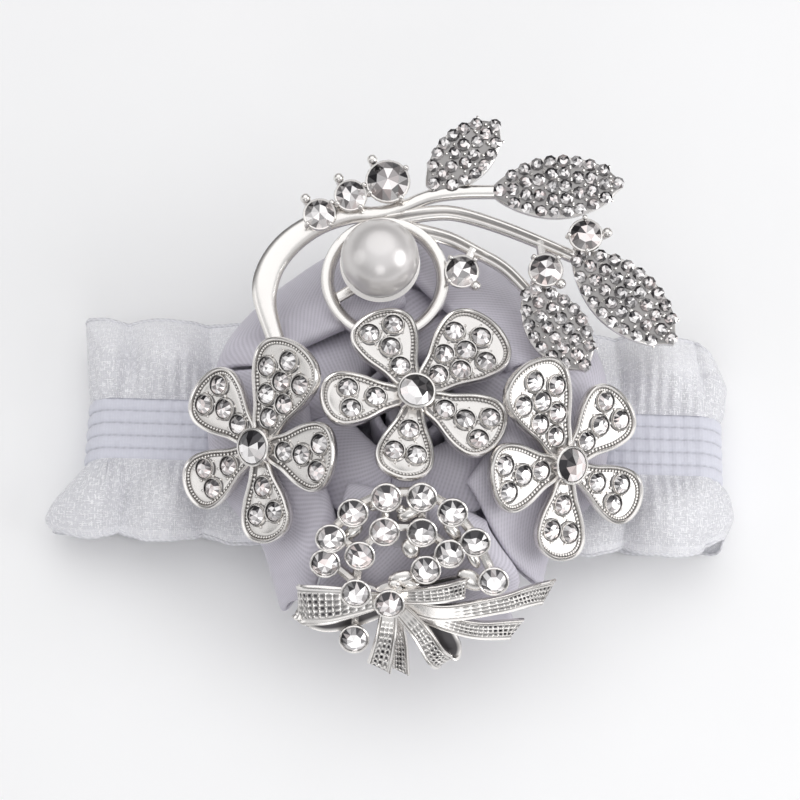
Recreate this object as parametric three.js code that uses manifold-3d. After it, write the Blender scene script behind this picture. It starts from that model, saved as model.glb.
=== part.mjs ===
// Stretch wrist corsage: a frilled elastic band that carries a satin rosette with cast rhinestone ornaments.
// Millimetres, +Z up. The part lies on the outer face of the band's rear run, whose middle is the origin.
// +X runs along the band and +Y across it, towards the leaf spray.
import * as THREE from 'three';
import { mergeVertices } from 'three/addons/utils/BufferGeometryUtils.js';
import Module from 'manifold-3d';

const wasm = await Module();
wasm.setup();

// Fit between pieces that touch in the real part
const SEAT_GAP = 0.3;
const STONE_GAP = 0.25;

// Elastic band, a closed loop lying pressed flat
const BAND_SPAN = 95.8;
const ELASTIC_WIDTH = 10;
const ELASTIC_THICK = 1.2;
const RIB_COUNT = 5;
const RIB_GROOVE = 0.3;
const WRIST_GAP = 6;

// Organza frills along both edges of the elastic
const FRILL_HEIGHT = 12.2;
const FRILL_THICK = 0.6;
const FRILL_PITCH = 12;
const FRILL_WAVE = 1.4;
const FRILL_WAVE_HIDDEN = 0.4;
const FRILL_SCALLOP = 1.2;
const FRILL_TUCK = 3;
const FRILL_FIRST_DIP = { upper: 4.8, lower: 4 };
const FRILL_FLARE = { upper_left: 0.4, lower_left: 5.2, upper_right: 0.9, lower_right: 1.6 };

// Felt disc that joins the rosette to the band
const FELT_DIAMETER = 30;
const FELT_THICK = 1.5;

// Satin rosette: a pinwheel of folded ribbon panels on a rounded five-sided dome
const PANEL_COUNT = 5;
const PANEL_TURN = -85.8;
const PANEL_APOTHEM = 28.9;
const PANEL_RIM = 15;
const PANEL_RIM_SLOPE = 0.25;
const PANEL_LIFT = 1.05;
const SATIN_THICK = 0.8;
const DOME_RADIUS = 39.2;
const DOME_RISE = 15.9;
const INNER_TURN = -62;
const INNER_RIM = 8.6;
const INNER_REACH = 17.5;
const INNER_DROP = 4.6;
const CORE_RADIUS = 6.9;
const CORE_HEIGHT = 11;
const CORE_TURNS = 2.5;

// Cast flowers: five petals, each with its own length, width and stones
const PETAL_RIM = 1.7;
const PETAL_FLOOR = 1.15;
const PETAL_EDGE = 0.6;
const PETAL_RISE = 1.2;
const PETAL_STONE = 2.7;
const BEZEL_HEIGHT = 2.9;
const CENTRE_STONE = 4.7;
const PETALS = [
  {
    length: 16.2,
    width: 11.6,
    stones: [[4.6, 0], [7.5, 1.7], [7.5, -1.7], [10.2, 0], [11.1, 3.2], [11.1, -3.2], [13.3, 0]],
  },
  { length: 13.6, width: 10, stones: [[4.7, 0], [7.9, 0], [10.9, 1.9], [10.9, -1.9]] },
  { length: 13.6, width: 8.4, stones: [[5.7, 0], [9.5, 1.6], [9.5, -1.6]] },
  { length: 13.6, width: 8.4, stones: [[5.7, 0], [9.5, 1.6], [9.5, -1.6]] },
  { length: 13.6, width: 10, stones: [[4.7, 0], [7.9, 0], [10.9, 1.9], [10.9, -1.9]] },
];
// Each flower stands over a plan position, with its centre stone standing off the satin.
// It leans outwards along a heading, by the slope of the satin there and some degrees more or less.
const FLOWERS = [
  { name: 'centre', place: [1.4, -0.9], stand: 3.3, heading: 29.6, lean: 6.1, long: [0.682, 0.718, -0.143] },
  { name: 'left', place: [-21.6, -8.3], stand: 4.5, heading: -150, lean: 2, long: [0.292, 0.743, 0.602] },
  { name: 'right', place: [23.9, -8.8], stand: 4.1, heading: -30.7, lean: -3.3, long: [-0.384, 0.701, 0.6] },
];

// Leaf spray: ring, pearl, crescent stem, branch stems, leaves and claw-set stones, in the plane of the ring
const SPRAY_PLACE = [-3.6, 17.7];
const SPRAY_STAND = 2.6;
const SPRAY_TILT = 10;
const RING_DIAMETER = 18.4;
const RING_WIDTH = 1.6;
const RING_HEIGHT = 1.8;
const PEARL_DIAMETER = 11.2;
const PEARL_PLACE = [-1.1, 0.9];
const CUP_ANGLE = 62;
const CUP_WALL = 0.7;
const LEAF_FACE = 0.7;
const LEAF_BACK = 0.6;
const PAVE_STONE = 1.5;
const PAVE_PITCH = 1.9;
const LEAVES = [
  { base: [6, 13.9], tip: [15.9, 24.3], width: 7.2 },
  { base: [15.4, 13.7], tip: [34.3, 15.5], width: 8.9 },
  { base: [27.5, 4.6], tip: [42, -8.2], width: 9.2 },
  { base: [20.6, -0.7], tip: [29.5, -12.6], width: 8.2 },
];
const CLAW_STONES = [
  { name: 'a', place: [-9.8, 9], size: 4.3 },
  { name: 'b', place: [-5.4, 12], size: 4.3 },
  { name: 'c', place: [-0.1, 14.3], size: 6 },
  { name: 'd', place: [11, 1.1], size: 4.5 },
  { name: 'e', place: [23.1, 1.7], size: 4.5 },
  { name: 'f', place: [28.8, 7.1], size: 4.5 },
];

// Wreath and bow: looped metal ribbons with a wreath of cup-set stones, in the plane of the wreath
const BOW_PLACE = [-0.5, -23.4];
const BOW_STAND = 2.8;
const BOW_TILT = 40;
const BOW_RIBBON_THICK = 0.8;
const WREATH_WIRE = 1.2;
const WREATH_STONE = 3.6;
const WREATH = {
  a: [-1.9, 9.7], b: [3, 9.9], c: [7.3, 7.8], d: [-6.4, 7.3], e: [-9.4, 3.4], f: [-10.1, -0.3],
  g: [10.6, 3.5], h: [13.4, -2.2], i: [-2, 4.7], j: [3.2, 4.7], k: [-5.3, 1], l: [7.1, 1.7],
  m: [3.9, -0.8], n: [-5.7, -4], knot: [-1, -5.6], o: [-5.8, -11.6],
};
const CUP_HEIGHT = 0.8;
const KNOT_HEIGHT = 2;

// Glue pads under the ornaments
const FLOWER_PAD_DIAMETER = 6;
const FLOWER_PAD_DEPTH = { centre: 9, left: 4.4, right: 4.4 };
const SPRAY_PAD_DIAMETER = 8;
const SPRAY_PAD_DEPTH = 5;
const BOW_PAD_DIAMETER = 8;
const BOW_PAD_PLACE = [0.6, 4.6];
const BOW_PAD_DEPTH = 5;

const radians = THREE.MathUtils.degToRad;
const vector = (x, y, z) => new THREE.Vector3(x, y, z);

// Geometry helpers

// Positions only, shared vertices and no collapsed triangles.
function bare(geometry) {
  const flat = geometry.index ? geometry.toNonIndexed() : geometry.clone();
  const points = new THREE.BufferGeometry().setAttribute('position', flat.getAttribute('position'));
  const merged = mergeVertices(points, 1e-4);
  const index = [];
  for (let i = 0; i < merged.index.count; i += 3) {
    const [a, b, c] = [0, 1, 2].map((k) => merged.index.getX(i + k));
    if (a !== b && b !== c && a !== c) index.push(a, b, c);
  }
  return merged.setIndex(index);
}

// The same closed surface with its faces turned outwards.
function outward(geometry) {
  const position = geometry.getAttribute('position');
  const index = geometry.index.array;
  const corner = [vector(0, 0, 0), vector(0, 0, 0), vector(0, 0, 0)];
  let volume = 0;
  for (let i = 0; i < index.length; i += 3) {
    corner.forEach((p, k) => p.fromBufferAttribute(position, index[i + k]));
    volume += corner[0].dot(corner[1].clone().cross(corner[2]));
  }
  if (volume < 0) {
    for (let i = 0; i < index.length; i += 3) {
      [index[i + 1], index[i + 2]] = [index[i + 2], index[i + 1]];
    }
  }
  return geometry;
}

function indexed(points, index) {
  const position = new THREE.Float32BufferAttribute(points.flatMap((p) => [p.x, p.y, p.z]), 3);
  const geometry = new THREE.BufferGeometry().setAttribute('position', position).setIndex(index);
  return outward(geometry);
}

// Triangles that fill a flat loop of points, wound the way the loop runs.
function fill(loop) {
  const normal = vector(0, 0, 0);
  loop.forEach((p, i) => normal.add(p.clone().cross(loop[(i + 1) % loop.length])));
  normal.normalize();
  const side = loop[1].clone().sub(loop[0]).normalize();
  const up = normal.clone().cross(side);
  const plan = loop.map((p) => new THREE.Vector2(p.dot(side), p.dot(up)));
  return THREE.ShapeUtils.triangulateShape(plan, []).map(([a, b, c]) => {
    const area = plan[b].clone().sub(plan[a]).cross(plan[c].clone().sub(plan[a]));
    return area < 0 ? [a, c, b] : [a, b, c];
  });
}

// A closed body through a row of loops with the same number of points.
function loft(loops) {
  const n = loops[0].length;
  const index = [];
  for (let i = 0; i + 1 < loops.length; i++) {
    for (let j = 0; j < n; j++) {
      const k = (j + 1) % n;
      const a = i * n;
      const b = a + n;
      index.push(a + j, a + k, b + k, a + j, b + k, b + j);
    }
  }
  fill(loops[0]).forEach(([a, b, c]) => index.push(a, c, b));
  const end = (loops.length - 1) * n;
  fill(loops[loops.length - 1]).forEach(([a, b, c]) => index.push(end + a, end + b, end + c));
  return indexed(loops.flat(), index);
}

// A closed slab between two grids of points.
function slab(top, bottom) {
  const rows = top.length;
  const cols = top[0].length;
  const under = rows * cols;
  const index = [];
  for (let i = 0; i + 1 < rows; i++) {
    for (let j = 0; j + 1 < cols; j++) {
      const a = i * cols + j;
      const c = a + cols;
      index.push(a, a + 1, c + 1, a, c + 1, c);
      index.push(under + a, under + c + 1, under + a + 1, under + a, under + c, under + c + 1);
    }
  }
  const edge = [];
  for (let j = 0; j + 1 < cols; j++) edge.push(j);
  for (let i = 0; i + 1 < rows; i++) edge.push(i * cols + cols - 1);
  for (let j = cols - 1; j > 0; j--) edge.push((rows - 1) * cols + j);
  for (let i = rows - 1; i > 0; i--) edge.push(i * cols);
  edge.forEach((p, i) => {
    const q = edge[(i + 1) % edge.length];
    index.push(q, p, under + p, q, under + p, under + q);
  });
  return indexed([...top.flat(), ...bottom.flat()], index);
}

// A slab of even thickness about a curved middle surface.
function thickSheet(middle, thickness) {
  const rows = middle.length;
  const cols = middle[0].length;
  const offset = (sign) => middle.map((row, i) => row.map((p, j) => {
    const along = middle[Math.min(i + 1, rows - 1)][j].clone().sub(middle[Math.max(i - 1, 0)][j]);
    const across = row[Math.min(j + 1, cols - 1)].clone().sub(row[Math.max(j - 1, 0)]);
    return p.clone().addScaledVector(across.cross(along).normalize(), (sign * thickness) / 2);
  }));
  return slab(offset(1), offset(-1));
}

function toSolid(geometry) {
  const mesh = bare(geometry);
  const vertProperties = Float32Array.from(mesh.getAttribute('position').array);
  const triVerts = Uint32Array.from(mesh.index.array);
  return new wasm.Manifold(new wasm.Mesh({ numProp: 3, vertProperties, triVerts }));
}

function toGeometry(solid) {
  const mesh = solid.asOriginal().simplify(0.01).getMesh();
  const position = new THREE.Float32BufferAttribute(Float32Array.from(mesh.vertProperties), 3);
  return new THREE.BufferGeometry().setAttribute('position', position).setIndex([...mesh.triVerts]);
}

const join = (geometries) => geometries.map(toSolid).reduce((a, b) => a.add(b));
const cut = (solid, geometries) => geometries.map(toSolid).reduce((a, b) => a.subtract(b), solid);

// A turned solid about local +Z from (radius, height) pairs.
function turned(profile, sides, x = 0, y = 0, z = 0) {
  const geometry = new THREE.LatheGeometry(profile.map(([r, h]) => new THREE.Vector2(r, h)), sides);
  return outward(bare(geometry.rotateX(Math.PI / 2).translate(x, y, z)));
}

// A local frame with its +Z along a normal and its +Y as near as can be to a given direction.
function frameAt(origin, normal, long) {
  const z = vector(...normal).normalize();
  const x = vector(...long).cross(z).normalize();
  const y = z.clone().cross(x);
  return new THREE.Matrix4().makeBasis(x, y, z).setPosition(vector(...origin));
}

const tiltedFrame = (origin, degrees) => new THREE.Matrix4()
  .makeRotationX(radians(degrees)).setPosition(vector(...origin));

// Sections carried along a smooth path: section(t, width, lift) gives each loop's points.
function sweep(points, steps, across, section) {
  const curve = new THREE.CatmullRomCurve3(points.map((p) => vector(...p)));
  const loops = [];
  for (let i = 0; i <= steps; i++) {
    const t = i / steps;
    const tangent = curve.getTangent(t);
    const wide = across(tangent).addScaledVector(tangent, -across(tangent).dot(tangent)).normalize();
    const high = tangent.clone().cross(wide);
    const centre = curve.getPoint(t);
    loops.push(section(t).map(([u, v]) => centre.clone().addScaledVector(wide, u).addScaledVector(high, v)));
  }
  return loft(loops);
}

const sideways = (tangent) => vector(0, 0, 1).cross(tangent);

// A half-round bar that changes width along its path.
function stem(points, steps, width, height) {
  return sweep(points, steps, sideways, (t) => {
    const w = width(t) / 2;
    const h = height / 2;
    return [[-w, -h], [w, -h], [w, h * 0.2], [w * 0.5, h], [-w * 0.5, h], [-w, h * 0.2]];
  });
}

// A flat metal ribbon whose face keeps to a given crosswise direction.
function ribbon(points, steps, across, width, thick) {
  return sweep(points, steps, () => vector(...across), (t) => {
    const w = width(t) / 2;
    const h = thick / 2;
    return [[-w, -h], [w, -h], [w, h], [-w, h]];
  });
}

// A straight round wire between two points of a plane.
function wire(from, to, diameter, z = 0) {
  const run = vector(to[0] - from[0], to[1] - from[1], 0);
  const rod = new THREE.CylinderGeometry(diameter / 2, diameter / 2, run.length(), 4);
  const turn = new THREE.Quaternion().setFromUnitVectors(vector(0, 1, 0), run.clone().normalize());
  rod.applyQuaternion(turn);
  return rod.translate((from[0] + to[0]) / 2, (from[1] + to[1]) / 2, z);
}

// Round stones

// A faceted stone with its girdle at the given height.
function stone(size, x, y, z) {
  const r = size / 2;
  return turned([[0, -0.4 * size], [r, 0], [0.58 * r, 0.2 * size], [0, 0.2 * size]], 8, x, y, z);
}

// The room that a stone needs in its setting, open to the top.
function seat(size, x, y, z) {
  const r = size / 2 + STONE_GAP;
  return turned([[0, -0.4 * size - 1.4 * STONE_GAP], [r, -0.05], [r, size], [0, size]], 8, x, y, z);
}

// Materials
const satin = { color: 0xb0acb8, roughness: 0.42, metalness: 0 };
const organza = { color: 0xd9d9e4, roughness: 0.6, metalness: 0, transparent: true, opacity: 0.7 };
const elastic = { color: 0xcfd0de, roughness: 0.75, metalness: 0 };
const felt = { color: 0xc8c6d0, roughness: 0.95, metalness: 0 };
const silver = { color: 0xd8d6d2, roughness: 0.18, metalness: 1 };
const crystal = { color: 0xb9b6b8, roughness: 0.05, metalness: 0.6 };
const pearl = { color: 0xe6e5ea, roughness: 0.2, metalness: 0 };
const glue = { color: 0xe4e2da, roughness: 0.4, metalness: 0 };

const corsage = new THREE.Group();
corsage.name = 'wrist_corsage';

function piece(name, geometry, look, frame = new THREE.Matrix4()) {
  const mesh = new THREE.Mesh(geometry.clone().applyMatrix4(frame), new THREE.MeshStandardMaterial(look));
  mesh.name = name;
  corsage.add(mesh);
}

// Band loop: a middle line of two straight runs and two half-round bends
const BEND_RADIUS = (WRIST_GAP + ELASTIC_THICK) / 2;
const BEND_LENGTH = Math.PI * BEND_RADIUS;
const RUN_LENGTH = BAND_SPAN - 2 * BEND_RADIUS - ELASTIC_THICK;
const REAR_Z = ELASTIC_THICK / 2;
const FRONT_Z = REAR_Z + 2 * BEND_RADIUS;
const BAND_TOP = FRONT_Z + ELASTIC_THICK / 2;

// Place and outward direction on the middle line, s millimetres from the left end of the front run.
function loopAt(s) {
  const half = RUN_LENGTH / 2;
  if (s <= RUN_LENGTH) return { x: s - half, z: FRONT_Z, nx: 0, nz: 1 };
  const right = (s - RUN_LENGTH) / BEND_RADIUS;
  if (right <= Math.PI) {
    const [nx, nz] = [Math.sin(right), Math.cos(right)];
    return { x: half + BEND_RADIUS * nx, z: REAR_Z + BEND_RADIUS * (1 + nz), nx, nz };
  }
  const rear = s - RUN_LENGTH - BEND_LENGTH;
  if (rear <= RUN_LENGTH) return { x: half - rear, z: REAR_Z, nx: 0, nz: -1 };
  const left = (rear - RUN_LENGTH) / BEND_RADIUS;
  const [nx, nz] = [-Math.sin(left), -Math.cos(left)];
  return { x: -half + BEND_RADIUS * nx, z: REAR_Z + BEND_RADIUS * (1 + nz), nx, nz };
}

const LOOP_PARTS = [
  { name: 'front', start: 0, length: RUN_LENGTH },
  { name: 'right_bend', start: RUN_LENGTH, length: BEND_LENGTH },
  { name: 'rear', start: RUN_LENGTH + BEND_LENGTH, length: RUN_LENGTH },
  { name: 'left_bend', start: 2 * RUN_LENGTH + BEND_LENGTH, length: BEND_LENGTH },
];

// Elastic section: flat ribs on the outer face, plain inner face.
function elasticSection() {
  const pitch = ELASTIC_WIDTH / RIB_COUNT;
  const out = ELASTIC_THICK / 2;
  const section = [];
  for (let i = 0; i < RIB_COUNT; i++) {
    const y = -ELASTIC_WIDTH / 2 + i * pitch;
    if (i > 0) section.push([y, out - RIB_GROOVE]);
    section.push([i > 0 ? y + 0.2 * pitch : y, out]);
    section.push([i < RIB_COUNT - 1 ? y + 0.8 * pitch : y + pitch, out]);
  }
  section.push([ELASTIC_WIDTH / 2, -out], [-ELASTIC_WIDTH / 2, -out]);
  return section;
}

for (const part of LOOP_PARTS) {
  const bend = part.name.endsWith('bend');
  const steps = bend ? 6 : 1;
  const loops = [];
  for (let i = 0; i <= steps; i++) {
    const inset = SEAT_GAP / 2;
    const at = loopAt(part.start + inset + ((part.length - 2 * inset) * i) / steps);
    loops.push(elasticSection().map(([y, w]) => vector(at.x + at.nx * w, y, at.z + at.nz * w)));
  }
  piece(`elastic_${part.name}`, loft(loops), elastic);
}

// Frills: a wavy strip along each edge, quiet under the rosette and on the side that lies on the table.
const smooth = (t, a, b) => THREE.MathUtils.smoothstep(t, a, b);
const LOOP_LENGTH = 2 * (RUN_LENGTH + BEND_LENGTH);
const PUFF_LENGTH = LOOP_LENGTH / Math.round(LOOP_LENGTH / FRILL_PITCH);

function frillPoint(side, s, v) {
  const at = loopAt(s);
  const edge = side === 'upper' ? 1 : -1;
  const end = at.x < 0 ? 'left' : 'right';
  const open = smooth(Math.abs(at.x), 0.42 * RUN_LENGTH / 1.4, 0.56 * RUN_LENGTH / 1.4);
  const up = smooth(at.nz, -1, 0);
  const height = THREE.MathUtils.lerp(FRILL_WAVE_HIDDEN, FRILL_WAVE, Math.min(open, up));
  const phase = (2 * Math.PI * (s - FRILL_FIRST_DIP[side])) / PUFF_LENGTH;
  const ease = v * (2 - v);
  const rest = (1 - up) * (FRILL_WAVE_HIDDEN + (FRILL_THICK - ELASTIC_THICK) / 2);
  const flare = FRILL_FLARE[`${side}_${end}`] * v * v * Math.max(0, Math.abs(at.nx)) ** 1.5;
  const out = ease * (-height * Math.cos(phase) - rest) - (1 - up) * 0.05;
  const reach = FRILL_HEIGHT - FRILL_TUCK * (1 - up) - FRILL_SCALLOP * (0.5 + 0.5 * Math.cos(phase)) * v;
  const y = edge * (ELASTIC_WIDTH / 2 + SEAT_GAP + reach * v);
  return vector(at.x + at.nx * (out + flare), y, at.z + at.nz * out);
}

for (const side of ['upper', 'lower']) {
  for (const part of LOOP_PARTS) {
    const bend = part.name.endsWith('bend');
    const columns = bend ? 10 : part.name === 'front' ? 44 : 26;
    const middle = [0, 0.5, 1].map((v) => {
      const row = [];
      for (let i = 0; i <= columns; i++) {
        const inset = SEAT_GAP / 2;
        row.push(frillPoint(side, part.start + inset + ((part.length - 2 * inset) * i) / columns, v));
      }
      return row;
    });
    piece(`frill_${side}_${part.name}`, thickSheet(middle, FRILL_THICK), organza);
  }
}

// Felt disc
const FELT_BOTTOM = BAND_TOP + SEAT_GAP;
const FELT_TOP = FELT_BOTTOM + FELT_THICK;
const disc = new THREE.CylinderGeometry(FELT_DIAMETER / 2, FELT_DIAMETER / 2, FELT_THICK, 24);
piece('felt_backing', bare(disc.rotateX(Math.PI / 2).translate(0, 0, (FELT_BOTTOM + FELT_TOP) / 2)), felt);

// Rosette
const SATIN_SEAT = FELT_TOP + SEAT_GAP + SATIN_THICK / 2;
const DOME_TOP = FELT_TOP + DOME_RISE;

// Distance of a plan position from the middle, measured square to the nearest of the five sides.
function reachAt(x, y) {
  let sum = 0;
  for (let k = 0; k < PANEL_COUNT; k++) {
    const turn = radians(PANEL_TURN + (360 * k) / PANEL_COUNT);
    sum += Math.max(0, x * Math.cos(turn) + y * Math.sin(turn)) ** 14;
  }
  return Math.min(sum ** (1 / 14), DOME_RADIUS);
}

// Height of the rounded five-sided dome over a plan position, and its slope there.
const domeAt = (x, y) => DOME_TOP - DOME_RADIUS + Math.sqrt(DOME_RADIUS ** 2 - reachAt(x, y) ** 2);
const slopeAt = (x, y) => Math.asin(reachAt(x, y) / DOME_RADIUS);

// The point over a plan position that stands off the satin, measured square to its slope.
const overSatin = ([x, y], stand) => [x, y, domeAt(x, y) + stand / Math.cos(slopeAt(x, y))];

// How far a panel reaches past its middle on the upper and the tucked side, with rounded outer corners.
const rounding = (b) => 1 - 0.06 * smooth(b, 0.82 * PANEL_APOTHEM, PANEL_APOTHEM);
const overhang = (b) => Math.min(b * Math.tan(radians(41)), 0.66 * PANEL_APOTHEM) * rounding(b);
const tuck = (b) => -Math.min(b * Math.tan(radians(33)), 0.62 * PANEL_APOTHEM) * rounding(b);

// Middle surface of one folded panel. Each row holds its reach b, height rule and half width.
function panelGrid(turn, rows, columns) {
  const [c, s] = [Math.cos(turn), Math.sin(turn)];
  return rows.map((row) => {
    const line = [];
    for (let j = 0; j <= columns; j++) {
      const a = THREE.MathUtils.lerp(row.from, row.to, j / columns);
      const b = row.b(a);
      const [x, y] = [b * c - a * s, b * s + a * c];
      line.push(vector(x, y, row.z(x, y, a)));
    }
    return line;
  });
}

const liftAt = (a, b) => {
  const fade = THREE.MathUtils.lerp(1, 0.45, smooth(b, 0.84 * PANEL_APOTHEM, PANEL_APOTHEM));
  return PANEL_LIFT * fade * THREE.MathUtils.clamp(a / (0.55 * PANEL_APOTHEM), -1, 1);
};

const wide = (b) => ({ from: tuck(b), to: overhang(b) });
const narrow = (b) => ({ from: -b * Math.tan(radians(33)), to: b * Math.tan(radians(33)) });
const rim = (a) => PANEL_RIM + PANEL_RIM_SLOPE * a;
const over = (drop) => (x, y, a) => domeAt(x, y) + liftAt(a, Math.hypot(x, y) * 0.9) - drop;

function outerRows() {
  const rows = [
    { ...wide(PANEL_RIM), b: (a) => rim(a) + 0.7, z: over(2.1) },
    { ...wide(PANEL_RIM), b: (a) => rim(a) - 0.2, z: over(1) },
    { ...wide(PANEL_RIM + 0.6), b: (a) => rim(a) + 0.6, z: over(0.1) },
  ];
  for (const f of [0.25, 0.5, 0.72, 0.88, 1]) {
    const middle = THREE.MathUtils.lerp(PANEL_RIM, PANEL_APOTHEM, f);
    rows.push({ ...wide(middle), b: (a) => THREE.MathUtils.lerp(rim(a), PANEL_APOTHEM, f), z: over(0) });
  }
  const low = () => SATIN_SEAT;
  const edge = (x, y, a) => (over(0)(x, y, a) + SATIN_SEAT) / 2;
  rows.push({ ...wide(PANEL_APOTHEM), b: () => PANEL_APOTHEM + 0.7, z: edge });
  rows.push({ ...wide(PANEL_APOTHEM), b: () => PANEL_APOTHEM - 0.2, z: low });
  rows.push({ ...narrow(0.7 * PANEL_APOTHEM), b: () => 0.7 * PANEL_APOTHEM, z: low });
  rows.push({ ...narrow(0.7 * FELT_DIAMETER / 2), b: () => 0.7 * FELT_DIAMETER / 2, z: low });
  return rows;
}

function innerRows() {
  const lip = (a) => INNER_RIM + 0.8 + PANEL_RIM_SLOPE * a;
  const leg = CORE_RADIUS + SEAT_GAP + 0.8 * SATIN_THICK;
  const under = (drop) => (x, y, a) => domeAt(x, y) + liftAt(1.6 * a, 0) - INNER_DROP - drop;
  const rows = [
    { ...narrow(leg - 0.3), b: () => leg, z: () => SATIN_SEAT - SATIN_THICK / 2 },
    { ...narrow(leg - 0.3), b: () => leg, z: (x, y, a) => (SATIN_SEAT + under(3)(x, y, a)) / 2 },
    { ...narrow(leg - 0.3), b: () => leg, z: under(1.6) },
    { ...wide(INNER_RIM + 0.8), b: lip, z: under(0.1) },
  ];
  for (const f of [0.45, 1]) {
    const middle = THREE.MathUtils.lerp(INNER_RIM + 0.8, INNER_REACH, f);
    rows.push({ ...wide(middle), b: (a) => THREE.MathUtils.lerp(lip(a), INNER_REACH, f), z: under(0) });
  }
  return rows;
}

for (let k = 0; k < PANEL_COUNT; k++) {
  const step = (360 * k) / PANEL_COUNT;
  const outer = panelGrid(radians(PANEL_TURN + step), outerRows(), 7);
  const inner = panelGrid(radians(INNER_TURN + step), innerRows(), 6);
  piece(`rosette_outer_${k + 1}`, thickSheet(outer, SATIN_THICK), satin);
  piece(`rosette_inner_${k + 1}`, thickSheet(inner, SATIN_THICK), satin);
}

// Rolled core: a ribbon wound into a spiral and stood on its edge.
const CORE_TOP = SATIN_SEAT - SATIN_THICK / 2 + CORE_HEIGHT;
const coil = (grow) => {
  const line = [];
  const steps = Math.round(12 * CORE_TURNS);
  for (let i = 0; i <= steps; i++) {
    const r = 1.2 + ((CORE_RADIUS - 1.2 - SATIN_THICK / 2) * i) / steps + grow;
    const turn = (2 * Math.PI * CORE_TURNS * i) / steps;
    line.push(new THREE.Vector2(r * Math.cos(turn), r * Math.sin(turn)));
  }
  return line;
};
const coilShape = new THREE.Shape([...coil(SATIN_THICK / 2), ...coil(-SATIN_THICK / 2).reverse()]);
const core = new THREE.ExtrudeGeometry(coilShape, { depth: CORE_HEIGHT, bevelEnabled: false });
piece('rosette_core', bare(core.translate(0, 0, CORE_TOP - CORE_HEIGHT)), satin);

// The satin as a thick block, grown by the seat gap, that shapes the underside of the glue pads.
function satinBlocks() {
  const blocks = [];
  for (let k = 0; k < PANEL_COUNT; k++) {
    const brink = { ...wide(PANEL_RIM), b: (a) => rim(a) - 1, z: over(0.1) };
    const rows = [brink, ...outerRows().slice(2, 8)];
    rows.forEach((row) => Object.assign(row, { from: row.from - 2 * SEAT_GAP, to: row.to + 2 * SEAT_GAP }));
    const grid = panelGrid(radians(PANEL_TURN + (360 * k) / PANEL_COUNT), rows, 7);
    const grow = SATIN_THICK / 2 + 2 * SEAT_GAP;
    const top = grid.map((row) => row.map((p) => p.clone().add(vector(0, 0, grow))));
    const bottom = grid.map((row) => row.map((p) => p.clone().add(vector(0, 0, -12))));
    blocks.push(slab(top, bottom));
  }
  const plug = new THREE.CylinderGeometry(CORE_RADIUS + 2, CORE_RADIUS + 2, CORE_TOP, 12);
  blocks.push(plug.rotateX(Math.PI / 2).translate(0, 0, CORE_TOP / 2 + SEAT_GAP));
  return blocks;
}

const SATIN_BLOCKS = satinBlocks();

function gluePad(name, frame, place, diameter, top, depth) {
  const pad = new THREE.CylinderGeometry(diameter / 2, 0.56 * diameter, depth, 10);
  pad.rotateX(Math.PI / 2).translate(place[0], place[1], top - SEAT_GAP - depth / 2).applyMatrix4(frame);
  const bodies = cut(toSolid(pad), SATIN_BLOCKS).decompose();
  const best = bodies.reduce((a, b) => (b.volume() > a.volume() ? b : a));
  piece(name, toGeometry(best), glue);
}

// Flowers
const OUTLINE = [[0.14, 0.15], [0.34, 0.28], [0.56, 0.44], [0.78, 0.5], [0.93, 0.41], [1, 0.2]];

// Petal outline moved inwards by an inset, in petal coordinates (along, across).
function petalLoop({ length, width }, inset) {
  const half = OUTLINE.map(([s, t]) => new THREE.Vector2(s * length, t * width));
  const loop = [...half, ...half.map((p) => new THREE.Vector2(p.x, -p.y)).reverse()];
  return loop.map((p, i) => {
    const before = loop[(i + loop.length - 1) % loop.length];
    const after = loop[(i + 1) % loop.length];
    const run = after.clone().sub(before).normalize();
    return new THREE.Vector2(p.x + run.y * inset, p.y - run.x * inset);
  });
}

// One dished petal with a raised rim, lying along local +Y turned clockwise by an angle.
function petal(shape, degrees) {
  const turn = radians(90 - degrees);
  const place = (p, z) => vector(
    p.x * Math.cos(turn) - p.y * Math.sin(turn),
    p.x * Math.sin(turn) + p.y * Math.cos(turn),
    z + (PETAL_RISE * p.x) / PETALS[0].length,
  );
  const loop = (inset, z) => petalLoop(shape, inset).map((p) => place(p, z));
  const body = loft([
    loop(0.3, 0), loop(0, PETAL_RIM), loop(PETAL_EDGE, PETAL_RIM), loop(PETAL_EDGE + 0.15, PETAL_FLOOR),
  ]);
  const studs = shape.stones.map(([s, t]) => {
    const at = place(new THREE.Vector2(s, t), PETAL_FLOOR - 0.3);
    const r = PETAL_STONE / 2;
    return turned([[0, 0], [r, 0], [0.6 * r, 1], [0, 1]], 5, at.x, at.y, at.z);
  });
  return [body, ...studs];
}

for (const flower of FLOWERS) {
  const lean = slopeAt(...flower.place) + radians(flower.lean);
  const normal = vector(0, Math.sin(lean), Math.cos(lean));
  normal.applyAxisAngle(vector(0, 0, 1), radians(flower.heading - 90));
  const origin = vector(...overSatin(flower.place, flower.stand)).addScaledVector(normal, -BEZEL_HEIGHT);
  const frame = frameAt(origin.toArray(), normal.toArray(), flower.long);
  const bezel = CENTRE_STONE / 2 + 0.65;
  const hub = turned([[0, 0], [bezel, 0], [bezel, BEZEL_HEIGHT], [0, BEZEL_HEIGHT]], 12);
  const girdle = BEZEL_HEIGHT - 0.1;
  const bodies = [hub, ...PETALS.flatMap((shape, i) => petal(shape, 72 * i))];
  const casting = cut(join(bodies), [seat(CENTRE_STONE, 0, 0, girdle)]);
  piece(`flower_${flower.name}_casting`, toGeometry(casting), silver, frame);
  piece(`flower_${flower.name}_stone`, stone(CENTRE_STONE, 0, 0, girdle), crystal, frame);
  const depth = FLOWER_PAD_DEPTH[flower.name];
  gluePad(`flower_${flower.name}_glue`, frame, [0, 0], FLOWER_PAD_DIAMETER, 0, depth);
}

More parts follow.
